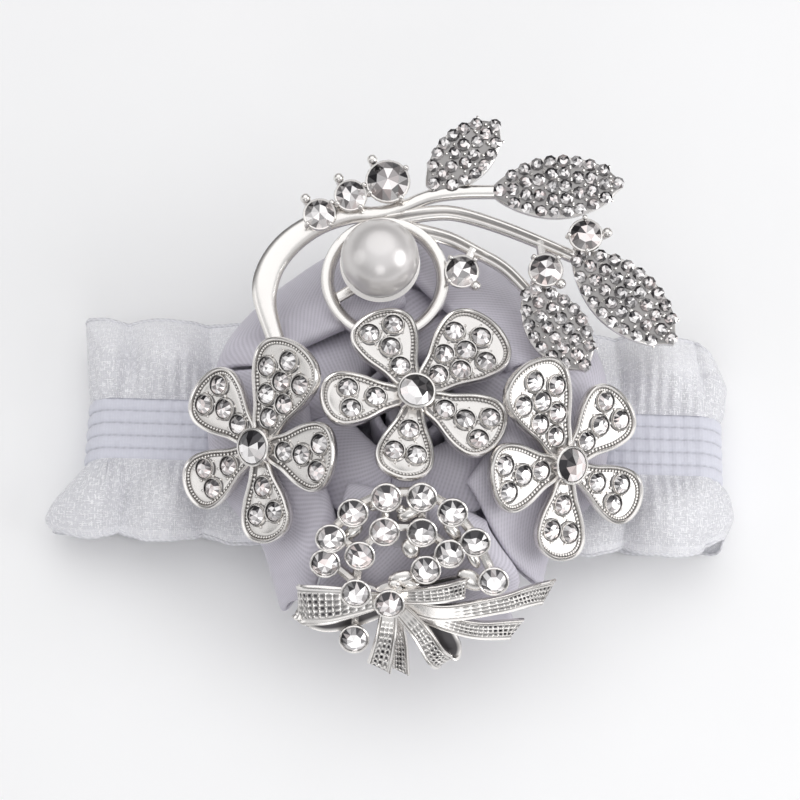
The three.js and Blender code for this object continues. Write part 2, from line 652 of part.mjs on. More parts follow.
// Leaf spray
const sprayFrame = tiltedFrame(overSatin(SPRAY_PLACE, SPRAY_STAND), SPRAY_TILT);

// A pointed oval leaf plate set all over with small stones.
function leaf({ base, tip, width }) {
  const from = new THREE.Vector2(...base);
  const run = new THREE.Vector2(...tip).sub(from);
  const length = run.length();
  run.normalize();
  const side = new THREE.Vector2(-run.y, run.x);
  const share = (u) => Math.sin(Math.PI * Math.min(1, 0.03 + 0.94 * u)) ** 0.7;
  const at = (u, v, z) => {
    const p = from.clone().addScaledVector(run, u * length).addScaledVector(side, (v * share(u) * width) / 2);
    return vector(p.x, p.y, z);
  };
  const stations = [0, 0.08, 0.2, 0.35, 0.5, 0.65, 0.8, 0.92, 1];
  const loop = (z) => [...stations.map((u) => at(u, 1, z)), ...stations.map((u) => at(u, -1, z)).reverse()];
  const plate = loft([loop(-LEAF_BACK), loop(LEAF_FACE)]);
  const studs = [];
  const pitch = PAVE_PITCH * 0.866;
  const lines = Math.floor((length - 2.4) / pitch);
  for (let i = 0; i <= lines; i++) {
    const u = (1.3 + i * pitch) / length;
    const room = share(u) * width / 2 - 0.75;
    const count = Math.max(1, Math.floor((2 * room) / PAVE_PITCH) + 1);
    for (let j = 0; j < count; j++) {
      const v = ((j - (count - 1) / 2) * PAVE_PITCH) / (share(u) * width / 2);
      const p = at(u, v, LEAF_FACE - 0.2);
      studs.push(turned([[0, 0], [0.6 * PAVE_STONE, 0], [0, 0.9]], 5, p.x, p.y, p.z));
    }
  }
  return [plate, ...studs];
}

// Claw setting: a tapered basket with four prongs.
function clawSetting({ place: [x, y], size }) {
  const r = size / 2 + 0.5;
  const basket = turned([[0, -0.6], [0.5 * r, -0.6], [r, 1.9], [0, 1.9]], 8, x, y, 0);
  const prongs = [45, 135, 225, 315].map((degrees) => {
    const px = x + (r + 0.25) * Math.cos(radians(degrees));
    const py = y + (r + 0.25) * Math.sin(radians(degrees));
    return turned([[0, 0.6], [0.45, 0.6], [0.45, 2.8], [0, 3.1]], 4, px, py, 0);
  });
  return [basket, ...prongs];
}

const CLAW_GIRDLE = 1.9;
const ringR = RING_DIAMETER / 2;
const ringProfile = [
  [ringR - RING_WIDTH, -0.3 * RING_HEIGHT], [ringR - 0.7 * RING_WIDTH, -0.5 * RING_HEIGHT],
  [ringR, -0.4 * RING_HEIGHT], [ringR, 0.3 * RING_HEIGHT],
  [ringR - 0.4 * RING_WIDTH, 0.5 * RING_HEIGHT], [ringR - RING_WIDTH, 0.3 * RING_HEIGHT],
];
const ring = turned([...ringProfile, ringProfile[0]], 24);

// Crescent stem that runs up the left side and over the ring to the second leaf.
const crescent = stem([
  [-14.5, -9.6, -0.6], [-17.4, -4.4, -0.2], [-18.2, -1, 0], [-17.1, 2.2, 0], [-14.3, 5.5, 0],
  [-10.1, 8.2, 0], [-5.5, 9.6, 0], [-1.7, 9.8, 0], [2, 10.9, 0], [6.1, 12.7, 0],
  [10.5, 13.5, 0], [16.4, 13.8, 0],
], 17, (t) => 0.5 + 2.7 * smooth(t, 0, 0.22) - 2 * smooth(t, 0.3, 0.75), 1.5);
const branch = stem([
  [0, 9, 0], [6.2, 10.2, 0], [10.3, 10.2, 0], [15.9, 8.7, 0], [21.6, 6.6, 0], [28.6, 3.7, 0],
], 8, (t) => 1.9 - 0.5 * t, 1.5);
const twig = stem([
  [3.6, 7.7, 0], [8.9, 6.5, 0], [13, 4.6, 0], [17.3, 2.2, 0], [21.4, -1.8, 0],
], 6, (t) => 1.7 - 0.4 * t, 1.4);
const links = [
  wire([6.2, 12.6], [7.6, 15.6], 1.3),
  wire([11, 1.1], [12.6, 5], 1.3),
  wire([23.1, 1.7], [22.3, 6.5], 1.3),
  wire([23.1, 1.7], [21.2, -1.3], 1.3),
  wire([28.8, 7.1], [27, 4.4], 1.3),
  wire([-0.1, 14.3], [2.2, 10.9], 1.4),
  wire([-5.4, 12], [-5.2, 9.4], 1.4),
];

// Shallow cup that holds the pearl, carried on a bar across the ring.
const pearlR = PEARL_DIAMETER / 2;
const PEARL_HEIGHT = 0.4 + SEAT_GAP + pearlR;
const cupProfile = [];
for (let i = 0; i <= 3; i++) {
  const angle = radians((CUP_ANGLE * i) / 3);
  const r = pearlR + SEAT_GAP;
  cupProfile.push([r * Math.sin(angle), PEARL_HEIGHT - r * Math.cos(angle)]);
}
for (let i = 2; i >= 0; i--) {
  const angle = radians((CUP_ANGLE * i) / 2);
  const r = pearlR + SEAT_GAP + CUP_WALL;
  cupProfile.push([r * Math.sin(angle), PEARL_HEIGHT - r * Math.cos(angle)]);
}
const cup = turned(cupProfile, 14, PEARL_PLACE[0], PEARL_PLACE[1], 0);
const bar = new THREE.BoxGeometry(RING_DIAMETER - RING_WIDTH, 2.4, 0.8).translate(0, PEARL_PLACE[1], -0.3);

const sprayBodies = [
  ring, crescent, branch, twig, ...links, cup, bar,
  ...LEAVES.flatMap(leaf), ...CLAW_STONES.flatMap(clawSetting),
];
const spraySeats = CLAW_STONES.map(({ place, size }) => seat(size, place[0], place[1], CLAW_GIRDLE));
const sprayCasting = cut(join(sprayBodies), spraySeats);
piece('spray_casting', toGeometry(sprayCasting), silver, sprayFrame);
const bead = new THREE.SphereGeometry(pearlR, 18, 11).rotateX(Math.PI / 2);
piece('spray_pearl', bare(bead.translate(PEARL_PLACE[0], PEARL_PLACE[1], PEARL_HEIGHT)), pearl, sprayFrame);
for (const { name, place, size } of CLAW_STONES) {
  piece(`spray_stone_${name}`, stone(size, place[0], place[1], CLAW_GIRDLE), crystal, sprayFrame);
}
gluePad('spray_glue', sprayFrame, PEARL_PLACE, SPRAY_PAD_DIAMETER, -CUP_WALL, SPRAY_PAD_DEPTH);

// Wreath and bow
const bowFrame = tiltedFrame(overSatin(BOW_PLACE, BOW_STAND), BOW_TILT);
const bowRibbons = [
  ribbon([
    [-0.6, -5.6, 1], [-4.6, -5.9, 2.5], [-9.2, -6.6, 2.8], [-12.6, -7.2, 2.2], [-13.4, -7.4, 1],
    [-12, -7.5, 0], [-7, -7.2, -0.3], [-0.8, -6.2, -0.2],
  ], 9, [0, 1, 0], (t) => 2.6 + 2.6 * Math.sin(Math.PI * t), BOW_RIBBON_THICK),
  ribbon([
    [-1, -5.4, 0.8], [4, -4.6, 1.9], [7.6, -3.9, 1.9], [9.4, -3.5, 1], [8, -3.8, 0], [3, -5, -0.2],
    [-1, -5.8, -0.2],
  ], 9, [0.2, 1, 0], (t) => 2 + 1.2 * Math.sin(Math.PI * t), BOW_RIBBON_THICK),
  ribbon([
    [-1, -6, 0.4], [6.1, -7.3, 1.5], [14.4, -5.9, 1.2], [18.5, -4.6, 1], [21.2, -4, 0.7],
  ], 6, [0.1, 1, 0], (t) => 2.2 + 1.2 * t, BOW_RIBBON_THICK),
  ribbon([
    [-1, -6.4, 0.2], [6.9, -9.2, 0.4], [11.8, -10.2, 0.5], [17, -10, 0.2],
  ], 6, [0.1, 1, 0], (t) => 2.2 + 0.9 * t, BOW_RIBBON_THICK),
  ribbon([
    [-1, -5.8, 0.8], [-1.3, -10.5, 1.9], [-2.2, -16.2, 0.9],
  ], 6, [1, 0, 0], (t) => 2.2 + 1.5 * t, BOW_RIBBON_THICK),
  ribbon([
    [-0.6, -6, 0.2], [0.6, -12, 0.3], [1, -17.1, 0],
  ], 5, [1, 0, 0.3], (t) => 1.8 + 0.6 * t, BOW_RIBBON_THICK),
  ribbon([
    [-0.8, -5.8, 0.9], [3.4, -9.8, 2.7], [5.8, -13.6, 2.4], [7.2, -14.6, 1.2], [7.6, -12.6, 0.2],
    [4.4, -8.4, 0], [-0.8, -5.8, 0],
  ], 9, [1, 0.8, 0], (t) => 2 + 1.4 * Math.sin(Math.PI * t), BOW_RIBBON_THICK),
];
const knot = turned([[0, -0.6], [2, -0.6], [2.5, 0.4], [2.4, 1.4], [0, 1.4]], 10, -1, -5.6, 0);

// Wires between neighbouring settings, by their letters.
const WIRES = [
  'h-g', 'g-c', 'c-b', 'b-a', 'a-d', 'd-e', 'e-f', 'a-i', 'b-j', 'i-j', 'i-k', 'k-e', 'j-l', 'l-g', 'l-m',
  'm-knot', 'k-n', 'n-knot', 'n-f', 'n-o',
];
const settings = Object.entries(WREATH).map(([letter, [x, y]]) => {
  const height = letter === 'knot' ? KNOT_HEIGHT : CUP_HEIGHT;
  return { x, y, height, girdle: height + 1.1 };
});
const wreathCups = settings.map(({ x, y, height, girdle }) => {
  const r = WREATH_STONE / 2 + 0.5;
  return turned([[0, height - 1.1], [0.7 * r, height - 1.1], [r, girdle], [0, girdle]], 8, x, y, 0);
});
const wreathWires = WIRES.map((pair) => {
  const [from, to] = pair.split('-').map((letter) => WREATH[letter]);
  return wire(from, to, WREATH_WIRE, -0.55);
});
const wreathSeats = settings.map(({ x, y, girdle }) => seat(WREATH_STONE, x, y, girdle));
const bowCasting = cut(join([knot, ...bowRibbons, ...wreathCups, ...wreathWires]), wreathSeats);
piece('bow_casting', toGeometry(bowCasting), silver, bowFrame);
settings.forEach(({ x, y, girdle }, i) => {
  const name = `bow_stone_${String(i + 1).padStart(2, '0')}`;
  piece(name, stone(WREATH_STONE, x, y, girdle), crystal, bowFrame);
});
gluePad('bow_glue', bowFrame, BOW_PAD_PLACE, BOW_PAD_DIAMETER, -1.2, BOW_PAD_DEPTH);

export default corsage;
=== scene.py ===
"""Looks of a stretch wrist corsage: frilled elastic band, satin rosette and cast rhinestone ornaments.

Pieces are worked out in millimetres, in the plane of the ornament or sheet that they belong to,
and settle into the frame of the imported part, in metres.
"""

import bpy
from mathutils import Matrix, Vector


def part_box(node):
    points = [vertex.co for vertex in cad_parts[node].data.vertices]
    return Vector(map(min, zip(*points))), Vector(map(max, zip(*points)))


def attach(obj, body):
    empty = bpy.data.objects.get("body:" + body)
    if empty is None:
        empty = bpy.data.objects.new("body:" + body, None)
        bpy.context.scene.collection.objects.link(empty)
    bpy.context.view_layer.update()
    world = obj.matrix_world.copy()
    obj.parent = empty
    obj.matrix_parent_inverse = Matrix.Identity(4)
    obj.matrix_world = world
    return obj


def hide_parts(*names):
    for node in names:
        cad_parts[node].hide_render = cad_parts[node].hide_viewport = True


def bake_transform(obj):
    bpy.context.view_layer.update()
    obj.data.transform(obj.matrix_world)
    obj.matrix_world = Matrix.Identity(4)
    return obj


bl_info = {
    "name": "Wrist corsage",
    "version": (1, 0, 0),
    "blender": (4, 5, 0),
    "location": "View3D > Sidebar > Corsage",
    "description": "Builds the cloth, metal, stones and pearl of a stretch wrist corsage",
    "category": "Object",
}

import math
import random

import bmesh
import bpy
from bpy.props import FloatProperty, FloatVectorProperty, IntProperty, PointerProperty
from mathutils import Matrix, Vector, noise

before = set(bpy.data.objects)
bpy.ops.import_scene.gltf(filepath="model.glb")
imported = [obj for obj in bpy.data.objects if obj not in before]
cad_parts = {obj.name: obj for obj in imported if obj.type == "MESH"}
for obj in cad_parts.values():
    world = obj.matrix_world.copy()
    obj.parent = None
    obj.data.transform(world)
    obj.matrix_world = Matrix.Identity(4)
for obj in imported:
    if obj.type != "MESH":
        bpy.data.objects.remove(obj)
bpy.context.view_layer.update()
MM = 0.001
MERGE = 1e-5
FULL_TURN = 2 * math.pi


def node_size(node, axis):
    """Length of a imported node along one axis, in metres."""
    low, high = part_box(node)
    return high[axis] - low[axis]


BAND_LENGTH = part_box("elastic_right_bend")[1].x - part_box("elastic_left_bend")[0].x
BAND_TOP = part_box("elastic_front")[1].z
BAND_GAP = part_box("elastic_front")[0].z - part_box("elastic_rear")[1].z


# Settings


def length(name, description, default):
    return FloatProperty(
        name=name, description=description, default=default, min=0, unit="LENGTH", subtype="DISTANCE"
    )


def colour(name, description, default):
    return FloatVectorProperty(
        name=name, description=description, default=default, size=4, min=0, max=1, subtype="COLOR"
    )


class BandSettings(bpy.types.PropertyGroup):
    """Sizes and colours of the elastic and its frills"""

    span: length("Span", "Length of the band lying flat", BAND_LENGTH)
    elastic_width: length("Elastic width", "Width of the elastic", node_size("elastic_front", 1))
    elastic_thick: length("Elastic thickness", "Thickness of the elastic", node_size("elastic_front", 2))
    wrist_gap: length("Wrist gap", "Clear height inside the loop", BAND_GAP)
    rib_count: IntProperty(name="Ribs", description="Ribs across the elastic", default=5, min=1)
    rib_depth: length("Rib depth", "Depth of the grooves between ribs", 0.00042)
    stitch_pitch: length("Stitch pitch", "Length of one stitch in a groove", 0.00115)
    frill_height: length("Frill height", "Height of each frill", 0.0122)
    frill_pitch: length("Frill pitch", "Length of one puff of a frill", 0.012)
    frill_wave: length("Frill wave", "Depth of the puffs that show", 0.0014)
    elastic_colour: colour("Elastic colour", "Yarn of the elastic", (0.75, 0.755, 0.84, 1))
    organza_colour: colour("Organza colour", "Yarn of the frills", (0.88, 0.88, 0.92, 1))


class RosetteSettings(bpy.types.PropertyGroup):
    """Sizes and colours of the satin rosette and the felt under it"""

    apothem: length("Apothem", "Middle of the rosette to the side of a panel", 0.0289)
    rim: length("Rim", "Middle of the rosette to the inner fold of a panel", 0.015)
    dome_radius: length("Dome radius", "Radius of the rounded top", 0.0392)
    dome_rise: length("Dome rise", "Height of the rosette over the felt", 0.0159)
    lift: length("Lift", "How far one side of a panel lies over the next", 0.0007)
    satin_thick: length("Satin thickness", "Folded ribbon, two layers", 0.0011)
    satin_colour: colour("Satin colour", "Ribbon of the rosette", (0.64, 0.615, 0.69, 1))
    felt_colour: colour("Felt colour", "Backing disc", (0.60, 0.59, 0.66, 1))


class OrnamentSettings(bpy.types.PropertyGroup):
    """Sizes and colours of the cast ornaments, their stones and the pearl"""

    petal_stone: length("Petal stone", "Stones in the petals", 0.0026)
    centre_stone: length("Centre stone", "Middle of a flower", node_size("flower_centre_stone", 0))
    pave_stone: length("Leaf stone", "Stones of the leaves", 0.00195)
    wreath_stone: length("Wreath stone", "Stones of the wreath", node_size("bow_stone_01", 0))
    pearl: length("Pearl", "Diameter of the pearl", node_size("spray_pearl", 0))
    milgrain: length("Bead edging", "Pitch of the beads inside the petal rims", 0.00056)
    silver_colour: colour("Silver colour", "Plating of the castings", (0.88, 0.855, 0.83, 1))
    crystal_colour: colour("Crystal colour", "Bright facets of the stones", (0.88, 0.86, 0.86, 1))
    pearl_colour: colour("Pearl colour", "Nacre", (0.74, 0.725, 0.715, 1))
    glue_colour: colour("Glue colour", "Clear hot-melt glue", (0.74, 0.72, 0.77, 1))


class StageSettings(bpy.types.PropertyGroup):
    """Camera, floor and light"""

    lens: FloatProperty(name="Lens", description="Focal length", default=100, min=10, unit="CAMERA")
    elevation: FloatProperty(
        name="Elevation", description="Camera above the horizon", default=math.radians(68), subtype="ANGLE"
    )
    roll: FloatProperty(name="Roll", description="Camera roll", default=math.radians(1.8), subtype="ANGLE")
    distance: length("Distance", "Camera to target", 0.33333)
    target: FloatVectorProperty(
        name="Target",
        description="Middle of the picture",
        default=(-0.000918, 0.005918, BAND_TOP),
        subtype="XYZ",
    )
    floor_colour: colour("Floor colour", "Pale floor", (0.975, 0.975, 0.98, 1))


# Shader nodes


class Value:
    """A shader socket that takes arithmetic: an expression on values adds its Math nodes."""

    def __init__(self, nodes, socket):
        self.nodes = nodes
        self.socket = socket

    def maths(self, operation, *terms):
        return self.nodes.node("ShaderNodeMath", {"operation": operation}, dict(enumerate(terms)))

    def __add__(self, other):
        return self.maths("ADD", self, other)

    def __sub__(self, other):
        return self.maths("SUBTRACT", self, other)

    def __rsub__(self, other):
        return self.maths("SUBTRACT", other, self)

    def __mul__(self, other):
        return self.maths("MULTIPLY", self, other)

    __radd__ = __add__
    __rmul__ = __mul__

    def wave(self, pitch):
        """0 to 1 and back over each pitch."""
        return self.maths("SINE", self * (FULL_TURN / pitch)) * 0.5 + 0.5

    def above(self, edge, soft):
        """0 below the edge and 1 above it, with a soft step."""
        return self.nodes.node(
            "ShaderNodeMapRange",
            {"interpolation_type": "SMOOTHSTEP"},
            {"Value": self, "From Min": edge - soft, "From Max": edge + soft},
        )


class Nodes:
    """The node tree of a material or of the world, with one method that adds any node."""

    def __init__(self, owner):
        owner.use_nodes = True
        self.tree = owner.node_tree
        self.tree.nodes.clear()

    def feed(self, socket, value):
        if isinstance(value, Value):
            self.tree.links.new(value.socket, socket)
        else:
            socket.default_value = value

    def node(self, kind, settings=None, sockets=None, out=0):
        """Any node: its settings first, then the values or links of its sockets."""
        made = self.tree.nodes.new(kind)
        for key, value in (settings or {}).items():
            if key == "stops":
                while len(made.color_ramp.elements) < len(value):
                    made.color_ramp.elements.new(0.5)
                for element, (place, tint) in zip(made.color_ramp.elements, value):
                    element.position, element.color = place, tint
            else:
                setattr(made, key, value)
        for key, value in (sockets or {}).items():
            self.feed(made.inputs[key], value)
        return Value(self, made.outputs[out]) if made.outputs else None


class Finish(Nodes):
    """One node material of the corsage."""

    def __init__(self, name):
        self.material = bpy.data.materials.new(f"corsage_{name}")
        super().__init__(self.material)
        self.shader = self.tree.nodes.new("ShaderNodeBsdfPrincipled")
        self.node("ShaderNodeOutputMaterial", sockets={"Surface": Value(self, self.shader.outputs[0])})

    def place(self):
        return self.node("ShaderNodeTexCoord", out="Object")

    def cloth(self):
        """The UV map of a sheet, and millimetres along and across it."""
        uv = self.node("ShaderNodeTexCoord", out="UV")
        along = self.node("ShaderNodeSeparateXYZ", sockets={0: uv})
        return uv, along, Value(self, along.socket.node.outputs[1])

    def grain(self, vector, scale=1.0, detail=2.0, rough=0.5):
        sockets = {"Vector": vector, "Scale": scale, "Detail": detail, "Roughness": rough}
        return self.node("ShaderNodeTexNoise", sockets=sockets)

    def stretched(self, vector, along, across):
        return self.node("ShaderNodeMapping", sockets={"Vector": vector, "Scale": (along, across, 1.0)})

    def attribute(self, name):
        return self.node("ShaderNodeAttribute", {"attribute_name": name}, out="Fac")

    def blend(self, share, first, second):
        return self.node("ShaderNodeMix", {"data_type": "RGBA"}, {0: share, 6: first, 7: second}, out=2)

    def bump(self, height, strength, distance):
        sockets = {"Height": height, "Strength": strength, "Distance": distance}
        return self.node("ShaderNodeBump", sockets=sockets)

    def finish(self, **sockets):
        for key, value in sockets.items():
            self.feed(self.shader.inputs[key.replace("_", " ").title().replace("Ior", "IOR")], value)
        return self.material


def shade(base, factor):
    return tuple(min(1.0, c * factor) for c in base[:3]) + (1.0,)


def satin_finish(settings):
    """Polyester satin: fine diagonal weave, soft streaks along the ribbon, broad sheen."""
    f = Finish("satin")
    base = settings.satin_colour
    uv, along, across = f.cloth()
    yarn = 0.55 + 0.45 * (along * 0.6 - across * 0.8).wave(0.5)
    weave = (along * 0.8 + across * 0.6).wave(0.45) * yarn
    streak = f.grain(f.stretched(uv, 0.5, 0.06), 1.6, 3.0)
    cloud = f.grain(f.place(), 90.0)
    tone = f.blend(streak * 0.55 + cloud * 0.35, shade(base, 0.90), shade(base, 1.2))
    return f.finish(
        base_color=f.blend(weave * 0.5, tone, shade(base, 0.62)),
        roughness=0.34 + streak * 0.1 + weave * 0.08,
        normal=f.bump(weave * 0.6 + f.grain(f.stretched(uv, 6.0, 1.2)) * 0.4, 0.7, 0.00006),
        sheen_weight=0.25,
        sheen_roughness=0.35,
        specular_ior_level=0.55,
    )


def organza_finish(settings):
    """Sheer organza: crossed shiny threads, half open between them, denser along the hem; short dashes of
    thread carry a painted glint.
    """
    f = Finish("organza")
    base = settings.organza_colour
    uv, along, across = f.cloth()
    wobble = f.grain(f.stretched(uv, 0.35, 0.35)) * 0.55
    warp = (along + wobble).wave(0.27)
    weft = (across + wobble * 0.8).wave(0.25)
    crinkle = f.grain(f.stretched(uv, 0.75, 0.55), 1.0, 3.0, 0.6)
    threads = warp.maths("MAXIMUM", warp, weft)
    upright = f.grain(f.stretched(uv, 5.0, 1.4), 1.0, 1.0).above(0.59, 0.05)
    level = f.grain(f.stretched(uv, 1.3, 4.8), 1.0, 1.0).above(0.61, 0.05)
    # Painted glint: short dashes along the threads are painted near-white as sparkle, and made glossier.
    painted_sparkle = upright.maths("MAXIMUM", upright, level) * threads.above(0.45, 0.25)
    hem = across.above(11.1, 0.12)
    cloud = f.grain(f.stretched(uv, 0.22, 0.22))
    tone = f.blend(cloud * 0.5 + crinkle * 0.5, shade(base, 0.84), shade(base, 1.06))
    return f.finish(
        # painted glint: the sparkle dashes go towards near-white
        base_color=f.blend(painted_sparkle * 0.9, tone, (0.98, 0.98, 1.0, 1)),
        roughness=0.55 - painted_sparkle * 0.35,
        alpha=0.60 + threads * 0.08 + painted_sparkle * 0.28 + crinkle * 0.22 + hem * 0.15,
        normal=f.bump(warp * 0.15 + weft * 0.15 + painted_sparkle * 0.3 + crinkle * 4.0, 0.5, 0.0001),
        sheen_weight=0.3,
        sheen_roughness=0.4,
    )


def organza_hem_finish(settings):
    """The rolled edge of the organza, closer than the sheet."""
    f = Finish("organza_hem")
    base = settings.organza_colour
    along, across = f.cloth()[1:]
    twist = (along + across * 0.4).wave(0.9)
    return f.finish(
        base_color=f.blend(twist, shade(base, 0.94), shade(base, 1.03)),
        roughness=0.5 + twist * 0.12,
        alpha=0.78 + twist * 0.08,
        normal=f.bump(twist, 0.1, 0.00005),
    )


def elastic_finish(settings):
    """Knitted elastic: fine loops on the ribs, stitched grooves with painted shade in them."""
    f = Finish("elastic")
    base = settings.elastic_colour
    along, across = f.cloth()[1:]
    knit = along.wave(0.44) * across.wave(0.36)
    fuzz = f.grain(f.place(), 1500.0, 3.0)
    tone = f.blend(knit * 0.3 + fuzz * 0.35, shade(base, 0.92), shade(base, 1.10))
    return f.finish(
        # The groove mark is painted shade: the grooves between ribs are darkened.
        base_color=f.blend(f.attribute("groove") * 0.6, tone, shade(base, 0.55)),
        roughness=0.72 - knit * 0.14,
        normal=f.bump(knit + fuzz * 0.5, 0.45, 0.00008),
        sheen_weight=0.25,
        sheen_roughness=0.5,
    )


def felt_finish(settings):
    """Pressed felt: matted fibres with no gloss."""
    f = Finish("felt")
    base = settings.felt_colour
    fibre = f.grain(f.place(), 2200.0, 5.0, 0.7)
    mat = f.grain(f.place(), 300.0, 3.0)
    return f.finish(
        base_color=f.blend(fibre * 0.6 + mat * 0.4, shade(base, 0.78), shade(base, 1.12)),
        roughness=0.9 + mat * 0.08,
        normal=f.bump(fibre, 0.8, 0.0002),
        sheen_weight=0.4,
        sheen_roughness=0.6,
    )


def silver_finish(settings):
    """Bright silver plating with a soft cast skin; marked hollows, collar feet, bar undersides and leaf beds
    get painted shade, near-black where the mark is full.
    """
    f = Finish("silver")
    base = settings.silver_colour
    skin = f.grain(f.place(), 900.0, 3.0)
    cloud = f.grain(f.place(), 160.0)
    pit = f.attribute("pit")
    tone = f.blend(cloud * 0.5 + skin * 0.3, shade(base, 0.90), shade(base, 1.03))
    return f.finish(
        # Painted shade: the marked places go towards near-black.
        base_color=f.blend(pit, tone, (0.035, 0.032, 0.04, 1)),
        roughness=0.18 + skin * 0.10 + pit * 0.25,
        normal=f.bump(skin, 0.25, 0.00004),
        metallic=1.0,
    )


def crystal_finish(settings):
    """Foil-backed cut glass: each facet carries its own painted share of light and dark, and a faint painted
    glow.
    """
    f = Finish("crystal")
    light = f.blend(f.attribute("blush"), tuple(settings.crystal_colour), (0.80, 0.66, 0.64, 1))
    # The tone mark is painted light and shade per facet, from near-black to bright.
    painted_facet_light = f.blend(f.attribute("tone"), (0.018, 0.016, 0.02, 1), light)
    return f.finish(
        base_color=painted_facet_light,
        roughness=0.05 + f.grain(f.place(), 1200.0, 1.0) * 0.06,
        # Painted glow: the facets give off light of their own.
        emission_color=painted_facet_light,
        emission_strength=0.22,
        metallic=0.75,
        coat_weight=1.0,
        coat_roughness=0.02,
    )


def pearl_finish(settings):
    """Simulated pearl: white lustre with a faint pink orient; painted shade and a painted cream reflection
    darken it towards its edge.
    """
    f = Finish("pearl")
    red, green, blue, solid = settings.pearl_colour
    orient = f.grain(f.place(), 110.0)
    tone = f.blend(orient, (red * 1.02, green * 0.99, blue, solid), shade((red, green, blue), 1.08))
    painted_edge_shade = f.node("ShaderNodeLayerWeight", sockets={"Blend": 0.35}, out="Facing")
    return f.finish(
        # Painted shade and reflection: the edge as seen from the camera goes towards a darker cream.
        base_color=f.blend(painted_edge_shade * 0.8, tone, (0.50, 0.475, 0.44, 1)),
        roughness=0.27 + orient * 0.05,
        metallic=0.35,
        coat_weight=1.0,
        coat_roughness=0.1,
        sheen_weight=0.15,
    )


def glue_finish(settings):
    """Set hot-melt glue: milky, with soft flow marks."""
    f = Finish("glue")
    base = settings.glue_colour
    flow = f.grain(f.place(), 420.0)
    return f.finish(
        base_color=f.blend(flow, shade(base, 0.88), shade(base, 1.08)),
        roughness=0.32 + flow * 0.15,
        alpha=0.45 + flow * 0.2,
        normal=f.bump(flow, 0.3, 0.0002),
        subsurface_weight=0.4,
        subsurface_radius=(0.002, 0.002, 0.0018),
    )


def finish_for(maker, settings):
    """A material is made once and shared by the pieces of its finish."""
    name = maker.__name__.removesuffix("_finish")
    return bpy.data.materials.get(f"corsage_{name}") or maker(settings)


# Shaping tools


def smooth(t, low, high):
    f = min(1.0, max(0.0, (t - low) / (high - low)))
    return f * f * (3 - 2 * f)


def mix(a, b, f):
    return a + (b - a) * f


def ripple(x, y, z=0.0):
    """Smooth noise from -1 to 1."""
    return noise.noise(Vector((x, y, z)))


def catmull(a, b, c, d, f):
    return 0.5 * (2 * b + (c - a) * f + (2 * a - 5 * b + 4 * c - d) * f * f + (3 * b - a - 3 * c + d) * f**3)


class Line:
    """A smooth line through points, with its place and direction at a share of the way."""

    def __init__(self, points):
        self.points = [Vector(p) for p in points]
        self.points.insert(0, 2 * self.points[0] - self.points[1])
        self.points.append(2 * self.points[-1] - self.points[-2])
        self.spans = len(self.points) - 3

    def at(self, t):
        k = min(self.spans - 1, int(t * self.spans))
        return catmull(*self.points[k : k + 4], t * self.spans - k)

    def along(self, t):
        return (self.at(min(1.0, t + 0.004)) - self.at(max(0.0, t - 0.004))).normalized()

    def length(self):
        places = [self.at(i / 60) for i in range(61)]
        return sum((b - a).length for a, b in zip(places, places[1:]))


def faces_of(verts):
    return {f for v in verts for f in v.link_faces}


def spread_sheet(bm, columns, rows, place, size):
    """An open sheet: a grid whose points go to place(u, v), with a UV map in millimetres of cloth."""
    uv = bm.loops.layers.uv.verify()
    made = bmesh.ops.create_grid(bm, x_segments=columns, y_segments=rows, size=0.5)["verts"]
    share = {v: (v.co.x + 0.5, v.co.y + 0.5) for v in made}
    for face in faces_of(made):
        face.smooth = True
        for corner in face.loops:
            u, v = share[corner.vert]
            corner[uv].uv = (u * size[0], v * size[1])
    for vert, (u, v) in share.items():
        vert.co = place(u, v)
    return made


def rolled(bm, rings, marks=None, layer=None, cloth=(1, 1)):
    """A closed tube through rings of points, from a grid whose long sides meet."""
    n, m = len(rings[0]), len(rings) - 1
    uv = bm.loops.layers.uv.verify()
    made = bmesh.ops.create_grid(bm, x_segments=n, y_segments=m, size=0.5)["verts"]
    share = {v: (round((v.co.x + 0.5) * n), round((v.co.y + 0.5) * m)) for v in made}
    for face in faces_of(made):
        face.smooth = True
        for corner in face.loops:
            i, j = share[corner.vert]
            corner[uv].uv = (cloth[0] * j / m, cloth[1] * i / n)
    for vert, (i, j) in share.items():
        vert.co = rings[j][i % n]
        if layer:
            vert[layer] = marks[j][i % n]
    bmesh.ops.remove_doubles(bm, verts=made, dist=MERGE)
    live = [v for v in made if v.is_valid]
    ends = list({e for v in live for e in v.link_edges if e.is_boundary})
    if ends:
        bmesh.ops.holes_fill(bm, edges=ends, sides=0)


def swept(bm, points, steps, section, across=None, layer=None):
    """A bar along a smooth line; section(t, s) gives places wide and high, then a mark and a shift along."""
    line = Line(points)
    reach = line.length()
    rings, marks = [], []
    for j in range(steps + 1):
        t = j / steps
        run = line.along(t)
        wide = Vector(across) if across else Vector((0, 0, 1)).cross(run)
        wide = (wide - run * wide.dot(run)).normalized()
        high = run.cross(wide)
        centre = line.at(t)
        rows = [(*p, 0.0, 0.0)[:4] for p in section(t, t * reach)]
        rings.append([centre + wide * w + high * h + run * shift for w, h, mark, shift in rows])
        marks.append([mark for w, h, mark, shift in rows])
    rolled(bm, rings, marks, layer)


